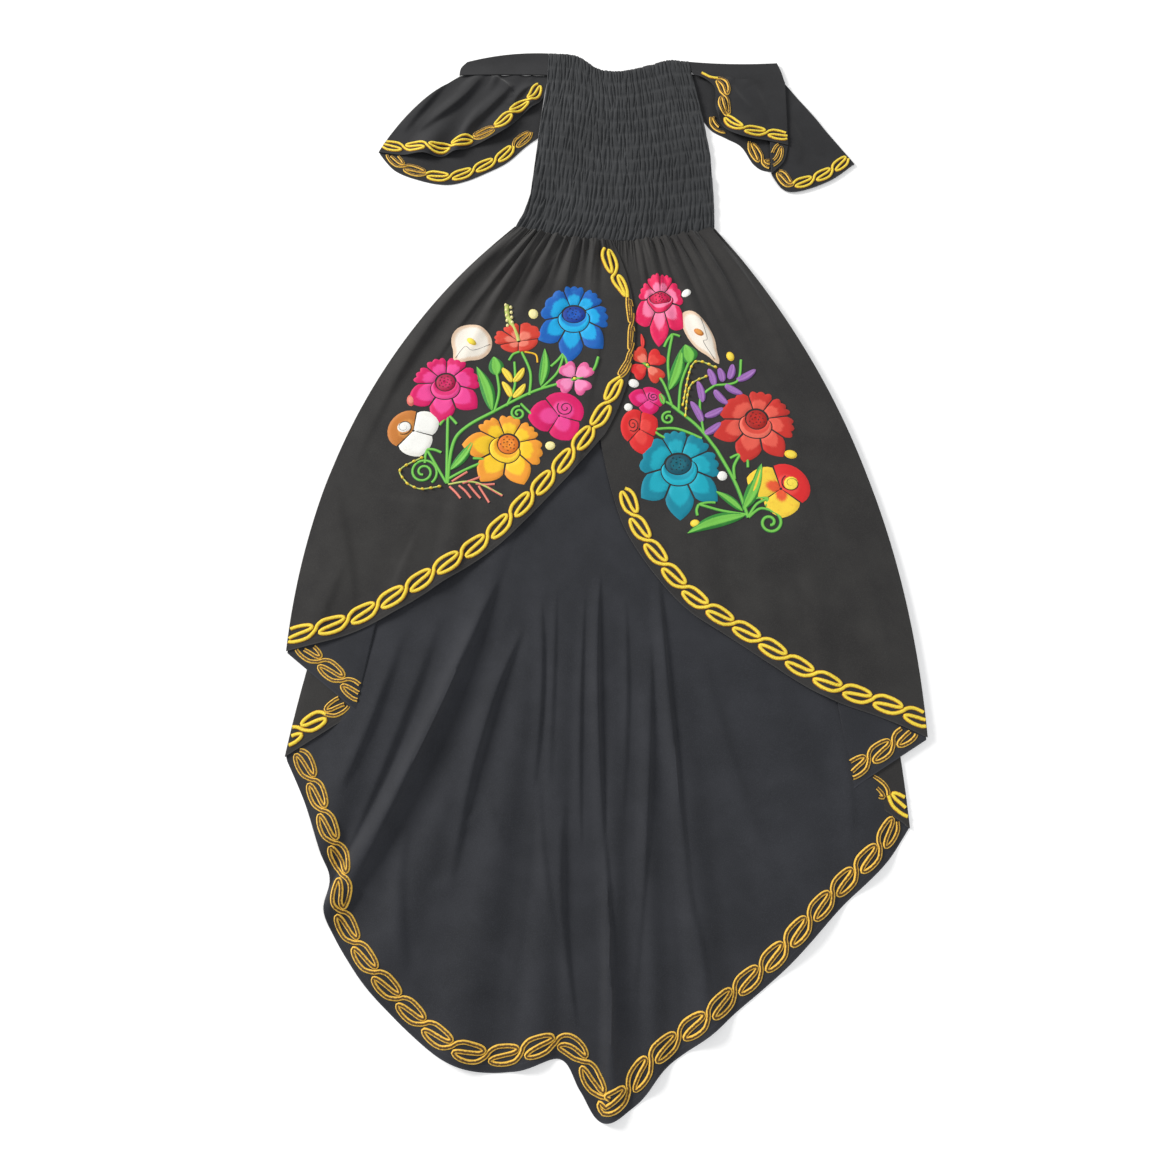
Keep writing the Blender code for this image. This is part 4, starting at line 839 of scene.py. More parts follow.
Dot = namedtuple("Dot", "x y across along turn finish")
LEFT_DOTS = [
    Dot(-0.100, 0.293, 0.014, 0.016, 0.2, "pale"),
    Dot(-0.074, 0.087, 0.014, 0.013, 0.0, "pale"),
    Dot(-0.271, 0.155, 0.012, 0.018, 0.1, "salmon"),
]
RIGHT_DOTS = [
    Dot(0.123, 0.325, 0.014, 0.011, 0.4, "white"),
    Dot(0.044, 0.183, 0.016, 0.013, -0.4, "white"),
    Dot(0.036, 0.146, 0.012, 0.012, 0.0, "white"),
    Dot(0.164, 0.042, 0.014, 0.014, 0.0, "white"),
    Dot(0.183, 0.224, 0.011, 0.015, 0.3, "lemon"),
    Dot(0.260, 0.073, 0.018, 0.013, -0.2, "lemon"),
    Dot(0.124, -0.027, 0.013, 0.011, 0.1, "lemon"),
]

# Dotted arcs of small beads of thread, through three plan points
LEFT_ARCS = [
    Stem(-0.252, 0.068, -0.281, 0.050, -0.270, 0.030, 0.0036, "lemon"),
    Stem(-0.270, 0.030, -0.252, 0.022, -0.226, 0.026, 0.0036, "lemon"),
]
RIGHT_ARCS = [
    Stem(0.161, 0.207, 0.130, 0.214, 0.113, 0.150, 0.0036, "lemon"),
    Stem(0.147, 0.193, 0.124, 0.178, 0.116, 0.133, 0.0036, "lemon"),
]

# One scroll of the cord border: share of its pitch, share of its half height
ScrollPoint = namedtuple("ScrollPoint", "along across")
SCROLL = [
    ScrollPoint(0.00, 0.00),
    ScrollPoint(0.10, 0.55),
    ScrollPoint(0.30, 0.95),
    ScrollPoint(0.60, 0.98),
    ScrollPoint(0.84, 0.80),
    ScrollPoint(0.92, 0.45),
    ScrollPoint(0.78, 0.16),
    ScrollPoint(0.50, 0.00),
    ScrollPoint(0.24, -0.20),
    ScrollPoint(0.10, -0.52),
    ScrollPoint(0.20, -0.84),
    ScrollPoint(0.45, -0.98),
    ScrollPoint(0.72, -0.84),
    ScrollPoint(0.89, -0.42),
]

Spray = namedtuple("Spray", "stems leaves spirals dots arcs")
SPRAYS = [
    (
        "spray_left",
        "skirt_front_left",
        Spray(LEFT_STEMS, LEFT_LEAVES, LEFT_SPIRALS, LEFT_DOTS, LEFT_ARCS),
        ("stem_left", "leaf_left_long", "leaf_left_upright", "leaf_left_low"),
    ),
    (
        "spray_right",
        "skirt_front_right",
        Spray(RIGHT_STEMS, RIGHT_LEAVES, RIGHT_SPIRALS, RIGHT_DOTS, RIGHT_ARCS),
        ("stem_right", "leaf_right_wide", "leaf_right_upright", "leaf_right_high"),
    ),
]

# A stretch of border along a layer's hem between two ribs, or down its last rib: the cord changes
# between its face and its back at each share in changes, and starts with its back if so said.
# Rows of squeeze give a share of the stretch and how much of the border's height shows there.
Stretch = namedtuple("Stretch", "layer start end starts_back changes along_rib squeeze")
EVEN = ((0.0, 1.0), (1.0, 1.0))


def hem_stretch(layer, start, end, starts_back=False, changes=(), squeeze=EVEN):
    return Stretch(layer, start, end, starts_back, changes, False, squeeze)


def rib_stretch(layer, start, end, starts_back=False, changes=(), squeeze=EVEN):
    return Stretch(layer, start, end, starts_back, changes, True, squeeze)


# Sizes of a border: how far in from the edge, half its height, one scroll's length, cord width
Scrolls = namedtuple("Scrolls", "inset half pitch width")
SKIRT_SCROLLS = Scrolls(0.0185, 0.0098, 0.0420, 0.0057)
SLEEVE_SCROLLS = Scrolls(0.0135, 0.0076, 0.0360, 0.0046)

OPENING_SQUEEZE = (
    (0.0, 0.9), (0.16, 0.9), (0.30, 0.32), (0.62, 0.28), (0.76, 0.85), (1.0, 1.0),
)

Border = namedtuple("Border", "name piece scrolls stretches")
BORDERS = [
    Border("border_hem_left", "skirt_front_left", SKIRT_SCROLLS, [hem_stretch(0, 0.0, 6.85)]),
    Border("border_hem_right", "skirt_front_right", SKIRT_SCROLLS, [hem_stretch(0, 0.15, 8.0)]),
    Border("border_train", "skirt_back", SKIRT_SCROLLS, [hem_stretch(2, 0.0, 21.0, True)]),
    Border(
        "border_left_upper_fold",
        "skirt_back",
        SKIRT_SCROLLS,
        [hem_stretch(0, 0.0, 1.0, True)],
    ),
    Border(
        "border_left_lower_fold",
        "skirt_back",
        SKIRT_SCROLLS,
        [hem_stretch(1, 0.0, 1.0, True, (0.30,))],
    ),
    Border(
        "border_right_lower_fold",
        "skirt_back",
        SKIRT_SCROLLS,
        [hem_stretch(3, 0.0, 1.0, False, (0.70,))],
    ),
    Border(
        "border_right_upper_fold",
        "skirt_back",
        SKIRT_SCROLLS,
        [hem_stretch(4, 0.0, 1.0, True)],
    ),
    Border(
        "border_opening_left",
        "skirt_front_left",
        SKIRT_SCROLLS,
        [rib_stretch(0, 0.03, 1.0, False, (0.30, 0.70), OPENING_SQUEEZE)],
    ),
    Border(
        "border_flounce_left_front",
        "flounce_left",
        SLEEVE_SCROLLS,
        [hem_stretch(0, 0.20, 8.0, False, (0.42, 0.50))],
    ),
    Border(
        "border_flounce_left_back",
        "flounce_left",
        SLEEVE_SCROLLS,
        [hem_stretch(1, 0.20, 7.9, True, (0.22, 0.90))],
    ),
    Border(
        "border_flounce_right_front",
        "flounce_right",
        SLEEVE_SCROLLS,
        [hem_stretch(0, 0.30, 7.0, False, (0.16, 0.44))],
    ),
    Border(
        "border_flounce_right_back",
        "flounce_right",
        SLEEVE_SCROLLS,
        [
            hem_stretch(1, 0.0, 2.0, True),
            hem_stretch(2, 0.0, 4.0, True, (0.18,)),
            hem_stretch(3, 0.5, 7.0, True),
        ],
    ),
]

# What each cloth piece was cut to: whole width and length, and its flat area where it isn't
# a rectangle
Cut = namedtuple("Cut", "node width length area held rests_on")


# Shapes

def curve_rows(rows, at):
    """The table's rows at fractional row numbers, on smooth curves through all the rows."""
    table = np.array(rows, dtype=float)
    last = len(table) - 1
    low = np.clip(np.floor(at).astype(int), 0, last - 1)
    part = (np.asarray(at) - low)[:, None]
    before, after = table[np.maximum(low - 1, 0)], table[np.minimum(low + 2, last)]
    start, end = table[low], table[low + 1]
    slope_start, slope_end, rise = (end - before) / 2.0, (after - start) / 2.0, end - start
    bend = 3.0 * rise - 2.0 * slope_start - slope_end
    twist = slope_start + slope_end - 2.0 * rise
    return start + part * (slope_start + part * (bend + part * twist))


def smooth_step(value):
    value = np.clip(value, 0.0, 1.0)
    return value * value * (3.0 - 2.0 * value)


def distances_along(points):
    """Distance travelled along a line at each of its points."""
    steps = np.linalg.norm(np.diff(points, axis=0), axis=1)
    return np.concatenate([[0.0], np.cumsum(steps)])


def points_at(stops, travelled, points):
    """Plan points of a line at the given distances along it."""
    return np.stack([np.interp(stops, travelled, points[:, axis]) for axis in (0, 1)], axis=1)


def fold_relief(folds, across, along):
    """Lift of the folds, for every column and row."""
    height = np.zeros((len(across), len(along)))
    for fold in folds:
        distance = np.clip(np.abs(across - fold.at) / fold.half_width, 0.0, 1.0)
        ridge = 0.5 + 0.5 * np.cos(math.pi * distance)
        fading = 1.0 - smooth_step(along / fold.reach)
        growing = smooth_step((along - fold.reach) / (1.0 - fold.reach))
        height += np.outer(ridge, fold.top_height * fading + fold.hem_height * growing)
    return height


def gathered(layer, count, seed):
    """The same layer with fine uneven gathers below its seam."""
    places = np.random.default_rng(seed)
    folds = list(layer.folds)
    for number in range(count):
        at = (number + places.uniform(*PLACE_ROOM)) * (len(layer.ribs) - 1.0) / count
        height = places.uniform(*GATHER_HEIGHTS)
        width, reach = places.uniform(*GATHER_WIDTHS), places.uniform(*GATHER_REACHES)
        folds.append(Fold(at, width, height, reach, 0.0))
    return Layer(layer.ribs, folds)


def crease_points(crease):
    """Plan points along a crease, on a curve through its three places."""
    share = np.linspace(0.0, 1.0, CREASE_STEPS + 1)[:, None]
    start = np.array([crease.start_x, crease.start_y])
    middle = np.array([crease.middle_x, crease.middle_y])
    end = np.array([crease.end_x, crease.end_y])
    near = (1.0 - share) * (1.0 - 2.0 * share) * start + share * (2.0 * share - 1.0) * end
    return near + 4.0 * share * (1.0 - share) * middle


def crease_relief(creases, x, y):
    """Lift of the listed creases, steep on one side and gentle on the other."""
    height = np.zeros_like(x)
    for crease in creases:
        points = crease_points(crease)
        best = np.full_like(x, FAR_OFF)
        share_at, side_at = np.zeros_like(x), np.zeros_like(x)
        for step in range(CREASE_STEPS):
            start_x, start_y = points[step]
            run_x, run_y = points[step + 1] - points[step]
            along = ((x - start_x) * run_x + (y - start_y) * run_y) / (run_x ** 2 + run_y ** 2)
            along = np.clip(along, 0.0, 1.0)
            off_x, off_y = x - start_x - along * run_x, y - start_y - along * run_y
            distance = np.hypot(off_x, off_y)
            nearer = distance < best
            best = np.where(nearer, distance, best)
            share_at = np.where(nearer, (step + along) / CREASE_STEPS, share_at)
            side_at = np.where(nearer, run_x * off_y - run_y * off_x, side_at)
        width = crease.width * np.where(side_at > 0.0, CREASE_STEEP, CREASE_GENTLE)
        fading = np.sin(math.pi * share_at) ** CREASE_ENDS
        height += crease.height * np.exp(-(best / width) ** 2) * fading
    return height


def layer_grid(layer, creases, rows, per_rib):
    """Points of one layer, an array of columns by rows by three."""
    across = np.linspace(0.0, len(layer.ribs) - 1.0, (len(layer.ribs) - 1) * per_rib + 1)
    along = np.linspace(0.0, 1.0, rows + 1)
    ribs = curve_rows(layer.ribs, across)
    top, hem, bow, level = ribs[:, 0:2], ribs[:, 2:4], ribs[:, 4], ribs[:, 5]
    chord = hem - top
    side = np.stack([chord[:, 1], -chord[:, 0]], axis=1) / np.linalg.norm(chord, axis=1)[:, None]
    share = along[None, :, None]
    plan = top[:, None, :] + chord[:, None, :] * share
    plan = plan + side[:, None, :] * bow[:, None, None] * 4.0 * share * (1.0 - share)
    folds = fold_relief(layer.folds, across, along)
    lift = folds + crease_relief(creases, plan[:, :, 0], plan[:, :, 1])
    return np.dstack([plan, level[:, None] + lift])


def turned_edge(before, edge, next_level):
    """Columns round a folded edge, from the layer that ends there to the level of the next."""
    rise = next_level - edge[:, 2]
    outward = edge[:, :2] - before[:, :2]
    room = np.linalg.norm(outward, axis=1)
    outward = outward / room[:, None]
    reach = np.minimum(np.abs(rise) / 2.0, TURN_SHARE * room)
    columns = []
    for step in range(TURN_STEPS + 1):
        angle = math.pi * step / TURN_STEPS
        plan = edge[:, :2] + outward * (reach * (math.sin(angle) - 1.0))[:, None]
        columns.append(np.column_stack([plan, edge[:, 2] + (1.0 - math.cos(angle)) / 2.0 * rise]))
    return columns


def sheet_grid(layers, creases, rows, per_rib):
    """Points of cloth that runs through all its layers, with a turn between each two."""
    columns = []
    for number, layer in enumerate(layers):
        points = list(layer_grid(layer, creases[number], rows, per_rib))
        if number > 0:
            points = points[TURN_ROOM:]
        if number < len(layers) - 1:
            next_level = layers[number + 1].ribs[0].level
            edge = points[-1]
            points = points[:-TURN_ROOM]
            points += turned_edge(points[-1], edge, next_level)
        columns += points
    return np.array(columns)


def hem_map(grid):
    """Distances along the hem and up from it, for every point of a grid."""
    along_hem = distances_along(grid[:, -1])
    steps = np.linalg.norm(np.diff(grid, axis=1), axis=2)
    risen = np.cumsum(steps[:, ::-1], axis=1)[:, ::-1]
    up = np.concatenate([risen, np.zeros((len(grid), 1))], axis=1)
    return np.dstack([np.repeat(along_hem[:, None], grid.shape[1], axis=1), up])


def grid_faces(columns, rows, flip=False, offset=0):
    """Quads of a grid whose points are numbered down each column."""
    first = (np.arange(columns - 1)[:, None] * rows + np.arange(rows - 1)[None, :]).ravel() + offset
    quads = np.stack([first, first + 1, first + rows + 1, first + rows], axis=1)
    return quads[:, ::-1] if flip else quads


def mesh_object(name, points, faces, uv, materials, slots=None):
    """An object from points, faces and one UV pair for each point."""
    data = bpy.data.meshes.new(name)
    corners_of_faces = [list(map(int, face)) for face in faces]
    data.from_pydata(np.asarray(points).reshape(-1, 3).tolist(), [], corners_of_faces)
    layer = data.uv_layers.new(name="UVMap")
    corners = np.zeros(len(data.loops), dtype=np.int32)
    data.loops.foreach_get("vertex_index", corners)
    layer.data.foreach_set("uv", np.asarray(uv, dtype=np.float32).reshape(-1, 2)[corners].ravel())
    for material in materials:
        data.materials.append(material)
    if slots is not None:
        data.polygons.foreach_set("material_index", np.asarray(slots, dtype=np.int32))
    data.shade_smooth()
    item = bpy.data.objects.new(name, data)
    bpy.context.scene.collection.objects.link(item)
    return item


def cloth_shell(name, cloth, mesh, finishes, flip=False, wall=SHELL_WALL):
    """A thin shell of cloth with one finish on its upper side and another on its under side."""
    layers, creases = cloth
    grid = sheet_grid(layers, creases, mesh.rows, mesh.per_rib)
    faces = grid_faces(grid.shape[0], grid.shape[1], flip)
    item = mesh_object(name, grid, faces, hem_map(grid), finishes)
    thickness = item.modifiers.new("thickness", "SOLIDIFY")
    thickness.thickness = wall
    thickness.offset = 0.0
    thickness.material_offset = 1
    thickness.material_offset_rim = 0
    bpy.context.view_layer.update()
    shell = item.evaluated_get(bpy.context.evaluated_depsgraph_get())
    item.data = bpy.data.meshes.new_from_object(shell)
    item.modifiers.clear()
    item.data.set_sharp_from_angle(angle=math.radians(RIM_ANGLE))
    return item


def bodice_plan(columns, rows):
    """Plan points of the bodice, with the share across and the share up of each."""
    across, along = np.linspace(0.0, 1.0, columns + 1), np.linspace(0.0, 1.0, rows + 1)
    share, up = np.meshgrid(across, along, indexing="ij")
    heights = [row.y for row in BODICE_ROWS]
    nominal = WAIST_Y + up * (NECK_Y - WAIST_Y)
    left = np.interp(nominal, heights, [row.left for row in BODICE_ROWS])
    right = np.interp(nominal, heights, [row.right for row in BODICE_ROWS])
    x = left + share * (right - left)
    neck_at = np.interp(share[:, 0], [row.share for row in NECK_ROWS], range(len(NECK_ROWS)))
    neck = curve_rows(NECK_ROWS, neck_at)[:, 1]
    bottom = waist_y(x) + SEAM_GAP
    return x, bottom + up * (neck[:, None] - bottom), share, up


def shirring(share, up, seed):
    """Puffs between short uneven valleys, pinched in by the rows of elastic, 0 to 1."""
    places = np.random.default_rng(seed)
    row = up * ELASTIC_ROWS
    across = np.sin(PUFF_WAVES_ACROSS[0] * share + PUFF_WAVES_ACROSS[1] * np.sin(row))
    upward = np.sin(PUFF_WAVES_UP[0] * row + PUFF_WAVES_UP[1] * share)
    puff = PUFF_LEAST + (1.0 - PUFF_LEAST) * across * upward
    for band in range(-1, ELASTIC_ROWS + 1):
        for number in range(BODICE_GATHERS):
            middle = (number + places.uniform(*PLACE_ROOM)) / BODICE_GATHERS
            middle_row = band + places.uniform(*PLACE_ROOM)
            slant = places.normal(0.0, VALLEY_SLANT) / BODICE_GATHERS
            width = places.uniform(*VALLEY_WIDTHS) / BODICE_GATHERS
            along = (row - middle_row) / places.uniform(*VALLEY_LENGTHS)
            off = share - middle - slant * along - VALLEY_BEND * slant * along * along
            fading = np.clip(1.0 - along * along, 0.0, 1.0)
            cut = places.uniform(*VALLEY_DEPTHS) * np.exp(-(off / width) ** 2) * fading
            puff = np.minimum(puff, 1.0 - cut)
    return puff * (1.0 - ELASTIC_PINCH * np.cos(math.pi * row) ** 6)


def closed_panel(name, x, y, upper, under, faces_up, uv, material):
    """A shirred panel: a worked face and a plain flat one, joined round the edge."""
    columns, rows = x.shape
    worked = np.dstack([x, y, upper])
    faces = [list(face) for face in grid_faces(columns, rows, flip=not faces_up)]
    rim = [c * rows for c in range(columns)]
    rim += [(columns - 1) * rows + r for r in range(1, rows)]
    rim += [c * rows + rows - 1 for c in range(columns - 2, -1, -1)]
    rim += [r for r in range(rows - 2, 0, -1)]
    flat = worked.reshape(-1, 3)[rim].copy()
    flat[:, 2] = under
    first, count = columns * rows, len(rim)
    for number in range(count):
        ahead = (number + 1) % count
        side = [rim[number], rim[ahead], first + ahead, first + number]
        faces.append(side if faces_up else side[::-1])
    base = list(range(first, first + count))
    faces.append(base[::-1] if faces_up else base)
    points = np.vstack([worked.reshape(-1, 3), flat])
    uv = uv.reshape(-1, 2)
    return mesh_object(name, points, faces, np.vstack([uv, uv[rim]]), [material])


def bodice_panels(material):
    x, y, share, up = bodice_plan(BODICE_COLUMNS, BODICE_LINES)
    uv = np.dstack([x, y])
    puffs = BODICE_TOP + BODICE_PUFF * shirring(share, up, FRONT_SEED)
    front = closed_panel("bodice_front_cloth", x, y, puffs, BODICE_UNDER, True, uv, material)
    x, y, share, up = bodice_plan(BODICE_COLUMNS // 2, BODICE_LINES // 2)
    uv = np.dstack([x, y])
    hollows = BACK_HOLLOW * (1.0 - shirring(share, up, BACK_SEED))
    back = closed_panel("bodice_back_cloth", x, y, hollows, BACK_TOP, False, uv, material)
    return front, back


class Ground:
    """The upper faces of one or more panels."""

    def __init__(self, trees):
        self.trees = trees

    def height(self, x, y):
        """Height of the highest face at a plan point, or none."""
        above, down = Vector((x, y, 1.0)), Vector((0.0, 0.0, -1.0))
        hits = [tree.ray_cast(above, down)[0] for tree in self.trees]
        found = [hit.z for hit in hits if hit is not None]
        return max(found) if found else math.nan

    def heights(self, x, y):
        flat = [self.height(px, py) for px, py in zip(np.ravel(x), np.ravel(y))]
        return np.array(flat).reshape(np.shape(x))

    def near_heights(self, x, y):
        """The same, with the nearest face's height for points beside the panel."""
        found = self.heights(x, y)
        for place in np.argwhere(np.isnan(found)):
            spot = tuple(place)
            beside = Vector((x[spot], y[spot], SIDE_LAYER))
            found[spot] = self.trees[0].find_nearest(beside)[0].z
        return found


def panel_tree(panel):
    bpy.context.view_layer.update()
    return BVHTree.FromObject(panel, bpy.context.evaluated_depsgraph_get())


def layer_tree(layer, creases, mesh):
    """One layer of a panel on its own, at the height of its upper face."""
    grid = layer_grid(layer, creases, mesh.rows, mesh.per_rib)
    grid[:, :, 2] += SHELL_WALL / 2.0
    faces = grid_faces(grid.shape[0], grid.shape[1])
    return BVHTree.FromPolygons(grid.reshape(-1, 3).tolist(), faces.tolist())


class Stitching:
    """Raised thread gathered into one piece: patches and cords on one panel."""

    def __init__(self, name, ground, finishes):
        self.name = name
        self.ground = ground
        self.finishes = finishes
        self.points, self.faces, self.uv, self.slots = [], [], [], []
        self.count = 0

    def add(self, x, y, height, uv, finish):
        """Adds a grid of points, an array of columns by rows, at its height."""
        columns, rows = x.shape
        quads = grid_faces(columns, rows, offset=self.count)
        middle = rows // 2
        span_x, span_y = x[1, middle] - x[0, middle], y[1, middle] - y[0, middle]
        fall_x, fall_y = x[0, -1] - x[0, 0], y[0, -1] - y[0, 0]
        if fall_x * span_y - fall_y * span_x < 0.0:
            quads = quads[:, ::-1]
        self.points.append(np.dstack([x, y, height]).reshape(-1, 3))
        self.uv.append(np.asarray(uv).reshape(-1, 2))
        self.faces.append(quads)
        self.slots += [self.finishes.index(finish)] * len(quads)
        self.count += columns * rows

    def piece(self, shades):
        materials = [shades[finish] for finish in self.finishes]
        points, faces, uv = np.vstack(self.points), np.vstack(self.faces), np.vstack(self.uv)
        return mesh_object(self.name, points, faces, uv, materials, self.slots)


def turned(bloom, u, v):
    """Plan points of a bloom from its own unit coordinates."""
    cosine, sine = math.cos(bloom.turn), math.sin(bloom.turn)
    u, v = u * bloom.width / 2.0, v * bloom.height / 2.0
    return bloom.x + u * cosine - v * sine, bloom.y + u * sine + v * cosine


def rim_reach(angle, lift):
    """Distance from a centre lifted above the middle of a unit circle to the circle."""
    return -lift * np.sin(angle) + np.sqrt(1.0 - (lift * np.cos(angle)) ** 2)


def petal_tip(tip, share):
    """Reach of a petal's rim by how far to its side, from -1 to 1, for each kind of tip."""
    side = np.abs(share)
    if tip == "point":
        return POINT_TOP - POINT_FALL * side - POINT_ROUND * side ** 6
    if tip == "heart":
        return NOTCH_LOW + NOTCH_SWELL * np.sin(math.pi * side) - NOTCH_ROUND * side ** 5
    if tip == "scallop":
        notches = 1.0 - np.abs(np.cos(1.5 * math.pi * share))
        return 1.0 - SCALLOP_DEPTH * notches - SCALLOP_ROUND * side ** 6
    return 1.0 - ROUND_FALL * side ** 4


def rounded(share, power):
    """A crown's height from its middle to its edges, from -1 to 1, flat on top."""
    return (1.0 - share ** power) ** EDGE_SOFT


def petal_patch(work, bloom, petal, inner, finish, lift):
    """One satin-stitched petal: a sector between the bloom's heart and its rim."""
    share = np.linspace(-1.0, 1.0, PETAL_COLUMNS)[:, None]
    out = np.linspace(0.0, 1.0, PETAL_ROWS)[None, :]
    start, end = math.radians(petal.start), math.radians(petal.end)
    angle = (start + end) / 2.0 + share * (end - start) / 2.0
    rim = rim_reach(angle, lift) * petal_tip(petal.tip, share) * petal.reach
    low = inner(angle)
    radius = low + out * (rim - low)
    narrowing = 1.0 - PETAL_WAIST * (1.0 - out) ** 2
    angle = (start + end) / 2.0 + share * narrowing * (end - start) / 2.0
    x, y = turned(bloom, radius * np.cos(angle), lift + radius * np.sin(angle))
    crown = PETAL_CROWN * rounded(share, 6) * rounded(2.0 * out - 1.0, 6)
    height = work.ground.near_heights(x, y) + THREAD_LIFT + crown
    size = (bloom.width + bloom.height) / 4.0
    across = share * (end - start) / 2.0 * size * SATIN_SPREAD
    uv = np.dstack([across + 0.0 * out, out + PETAL_ARCH * share ** 2])
    work.add(x, y, height, uv, finish)


def heart_patch(work, bloom, inner, outer, crown, finish, lift, start=0.0, end=360.0):
    """A patch round the bloom's heart, between two reaches given by angle."""
    angle = np.radians(np.linspace(start, end, HEART_COLUMNS))[:, None]
    out = np.linspace(0.0, 1.0, HEART_ROWS)[None, :]
    radius = inner(angle) + out * (outer(angle) - inner(angle))
    x, y = turned(bloom, radius * np.cos(angle), lift + radius * np.sin(angle))
    height = work.ground.near_heights(x, y) + THREAD_LIFT + crown * rounded(2.0 * out - 1.0, 4)
    size = (bloom.width + bloom.height) / 4.0
    work.add(x, y, height, np.dstack([radius * np.cos(angle) * size, out + 0.0 * angle]), finish)


def dome(work, x, y, across, along, turn, crown, finish):
    """A small raised spot, longer one way."""
    angle = np.linspace(0.0, 2.0 * math.pi, DOT_COLUMNS)[:, None]
    out = np.linspace(0.0, 1.0, DOT_ROWS)[None, :]
    u, v = out * np.cos(angle) * across / 2.0, out * np.sin(angle) * along / 2.0
    px = x + u * math.cos(turn) - v * math.sin(turn)
    py = y + u * math.sin(turn) + v * math.cos(turn)
    rise = crown * (1.0 - out ** 4) * np.ones_like(angle)
    height = work.ground.near_heights(px, py) + THREAD_LIFT + rise
    work.add(px, py, height, np.dstack([u, out + 0.0 * angle]), finish)


def leaf(work, base, tip, width, finish):
    """A leaf from base to tip with a sunk middle vein, pointed or with round ends."""
    share = np.linspace(-1.0, 1.0, LEAF_COLUMNS)[:, None]
    out = np.linspace(0.0, 1.0, LEAF_ROWS)[None, :]
    line = np.array(tip) - np.array(base)
    length = np.linalg.norm(line)
    side = np.array([line[1], -line[0]]) / length
    half = width / 2.0 * np.sin(math.pi * out ** LEAF_BELLY) ** LEAF_ENDS.get(finish, POINTED)
    bend = LEAF_BEND * length * np.sin(math.pi * out)
    x = base[0] + line[0] * out + side[0] * (share * half + bend)
    y = base[1] + line[1] * out + side[1] * (share * half + bend)
    vein = 1.0 - VEIN_DEPTH * np.exp(-(share / VEIN_WIDTH) ** 2)
    body = (1.0 - share ** 6) * vein * (1.0 - (2.0 * out - 1.0) ** 8)
    height = work.ground.near_heights(x, y) + THREAD_LIFT + LEAF_CROWN * body
    uv = np.dstack([out * length + np.abs(share) * half, np.abs(share) + 0.0 * out])
    work.add(x, y, height, uv, finish)


def cord_grid(path, width):
    """Plan points of a cord along a path, and the share across it of each."""
    ahead = np.gradient(path, axis=0)
    ahead /= np.maximum(np.linalg.norm(ahead, axis=1), 1e-9)[:, None]
    share = np.linspace(-1.0, 1.0, CORD_COLUMNS)
    x = path[:, 0:1] + ahead[:, 1:2] * share[None, :] * width / 2.0
    y = path[:, 1:2] - ahead[:, 0:1] * share[None, :] * width / 2.0
    return x, y, share


def add_cord(work, path, grid, base, height, finish, across):
    x, y, share = grid
    rise = np.sqrt(np.maximum(1.0 - share ** 2, 0.0)) * height
    uv = np.dstack(np.broadcast_arrays(distances_along(path)[:, None], across[None, :]))
    work.add(x, y, base[:, None] - CORD_SINK + rise[None, :], uv, finish)


def cord(work, path, width, height, finish):
    """A raised thread cord along a path of plan points."""
    grid = cord_grid(path, width)
    ends = [0, CORD_COLUMNS // 2, CORD_COLUMNS - 1]
    base = work.ground.near_heights(grid[0][:, ends], grid[1][:, ends]).max(axis=1)
    add_cord(work, path, grid, base, height, finish, np.abs(grid[2]))


def open_cord(work, path, width, height, finish, cover):
    """A cord laid only where its own layer lies open, cut where the layer ends or is covered."""
    x, y, share = cord_grid(path, width)
    ends = [0, CORD_COLUMNS // 2, CORD_COLUMNS - 1]
    own = work.ground.heights(x[:, ends], y[:, ends])
    top = cover.heights(x[:, ends], y[:, ends])
    is_open = ~np.isnan(own).any(axis=1) & (np.nan_to_num(top - own) < COVERED_BY).all(axis=1)
    base = own.max(axis=1)
    stops = np.flatnonzero(np.diff(np.concatenate([[False], is_open, [False]]).astype(int)))
    for first, last in zip(stops[::2], stops[1::2]):
        if last - first > SHORTEST_CORD:
            run = slice(first, last)
            grid = (x[run], y[run], share)
            add_cord(work, path[run], grid, base[run], height, finish, (share + 1.0) / 2.0)


def smooth_path(rows, spacing=PATH_SPACING):
    """Evenly spaced plan points on a smooth curve through the given rows."""
    rows = np.asarray(rows, dtype=float)
    fine = curve_rows(rows, np.linspace(0.0, len(rows) - 1.0, PATH_FINE * (len(rows) - 1) + 1))
    travelled = distances_along(fine)
    stops = np.linspace(0.0, travelled[-1], max(int(travelled[-1] / spacing), 3))
    return points_at(stops, travelled, fine)


def spiral_path(spiral):
    """A curl that winds in to its middle."""
    turn = np.linspace(0.0, 1.0, CURL_STEPS)
    angle = spiral.start + turn * spiral.turns * 2.0 * math.pi
    radius = spiral.radius * (1.0 - CURL_IN * turn)
    x, y = spiral.x + radius * np.cos(angle), spiral.y + radius * np.sin(angle)
    return smooth_path(np.stack([x, y], axis=1))


def bloom_finishes(palette):
    """Names of the threads that a bloom uses, without repeats."""
    names = [palette.petal, palette.second, palette.heart, palette.lip, "lemon", "pale", "outline"]
    return list(dict.fromkeys(names))


def ring(reach):
    """An even reach at every angle."""
    return lambda angle: reach + 0.0 * angle


def petal_ring(work, bloom, petals, inner, lift):
    """All the petals of a bloom, from an inner reach to the rim."""
    palette = PALETTES[bloom.palette]
    for petal in petals:
        finish = palette.second if petal.finish else palette.petal
        petal_patch(work, bloom, petal, inner, finish, lift)


def oval(reach, flat):
    """The reach of an oval that is flatter one way."""
    return lambda angle: reach / np.sqrt(np.cos(angle) ** 2 + (np.sin(angle) / flat) ** 2)


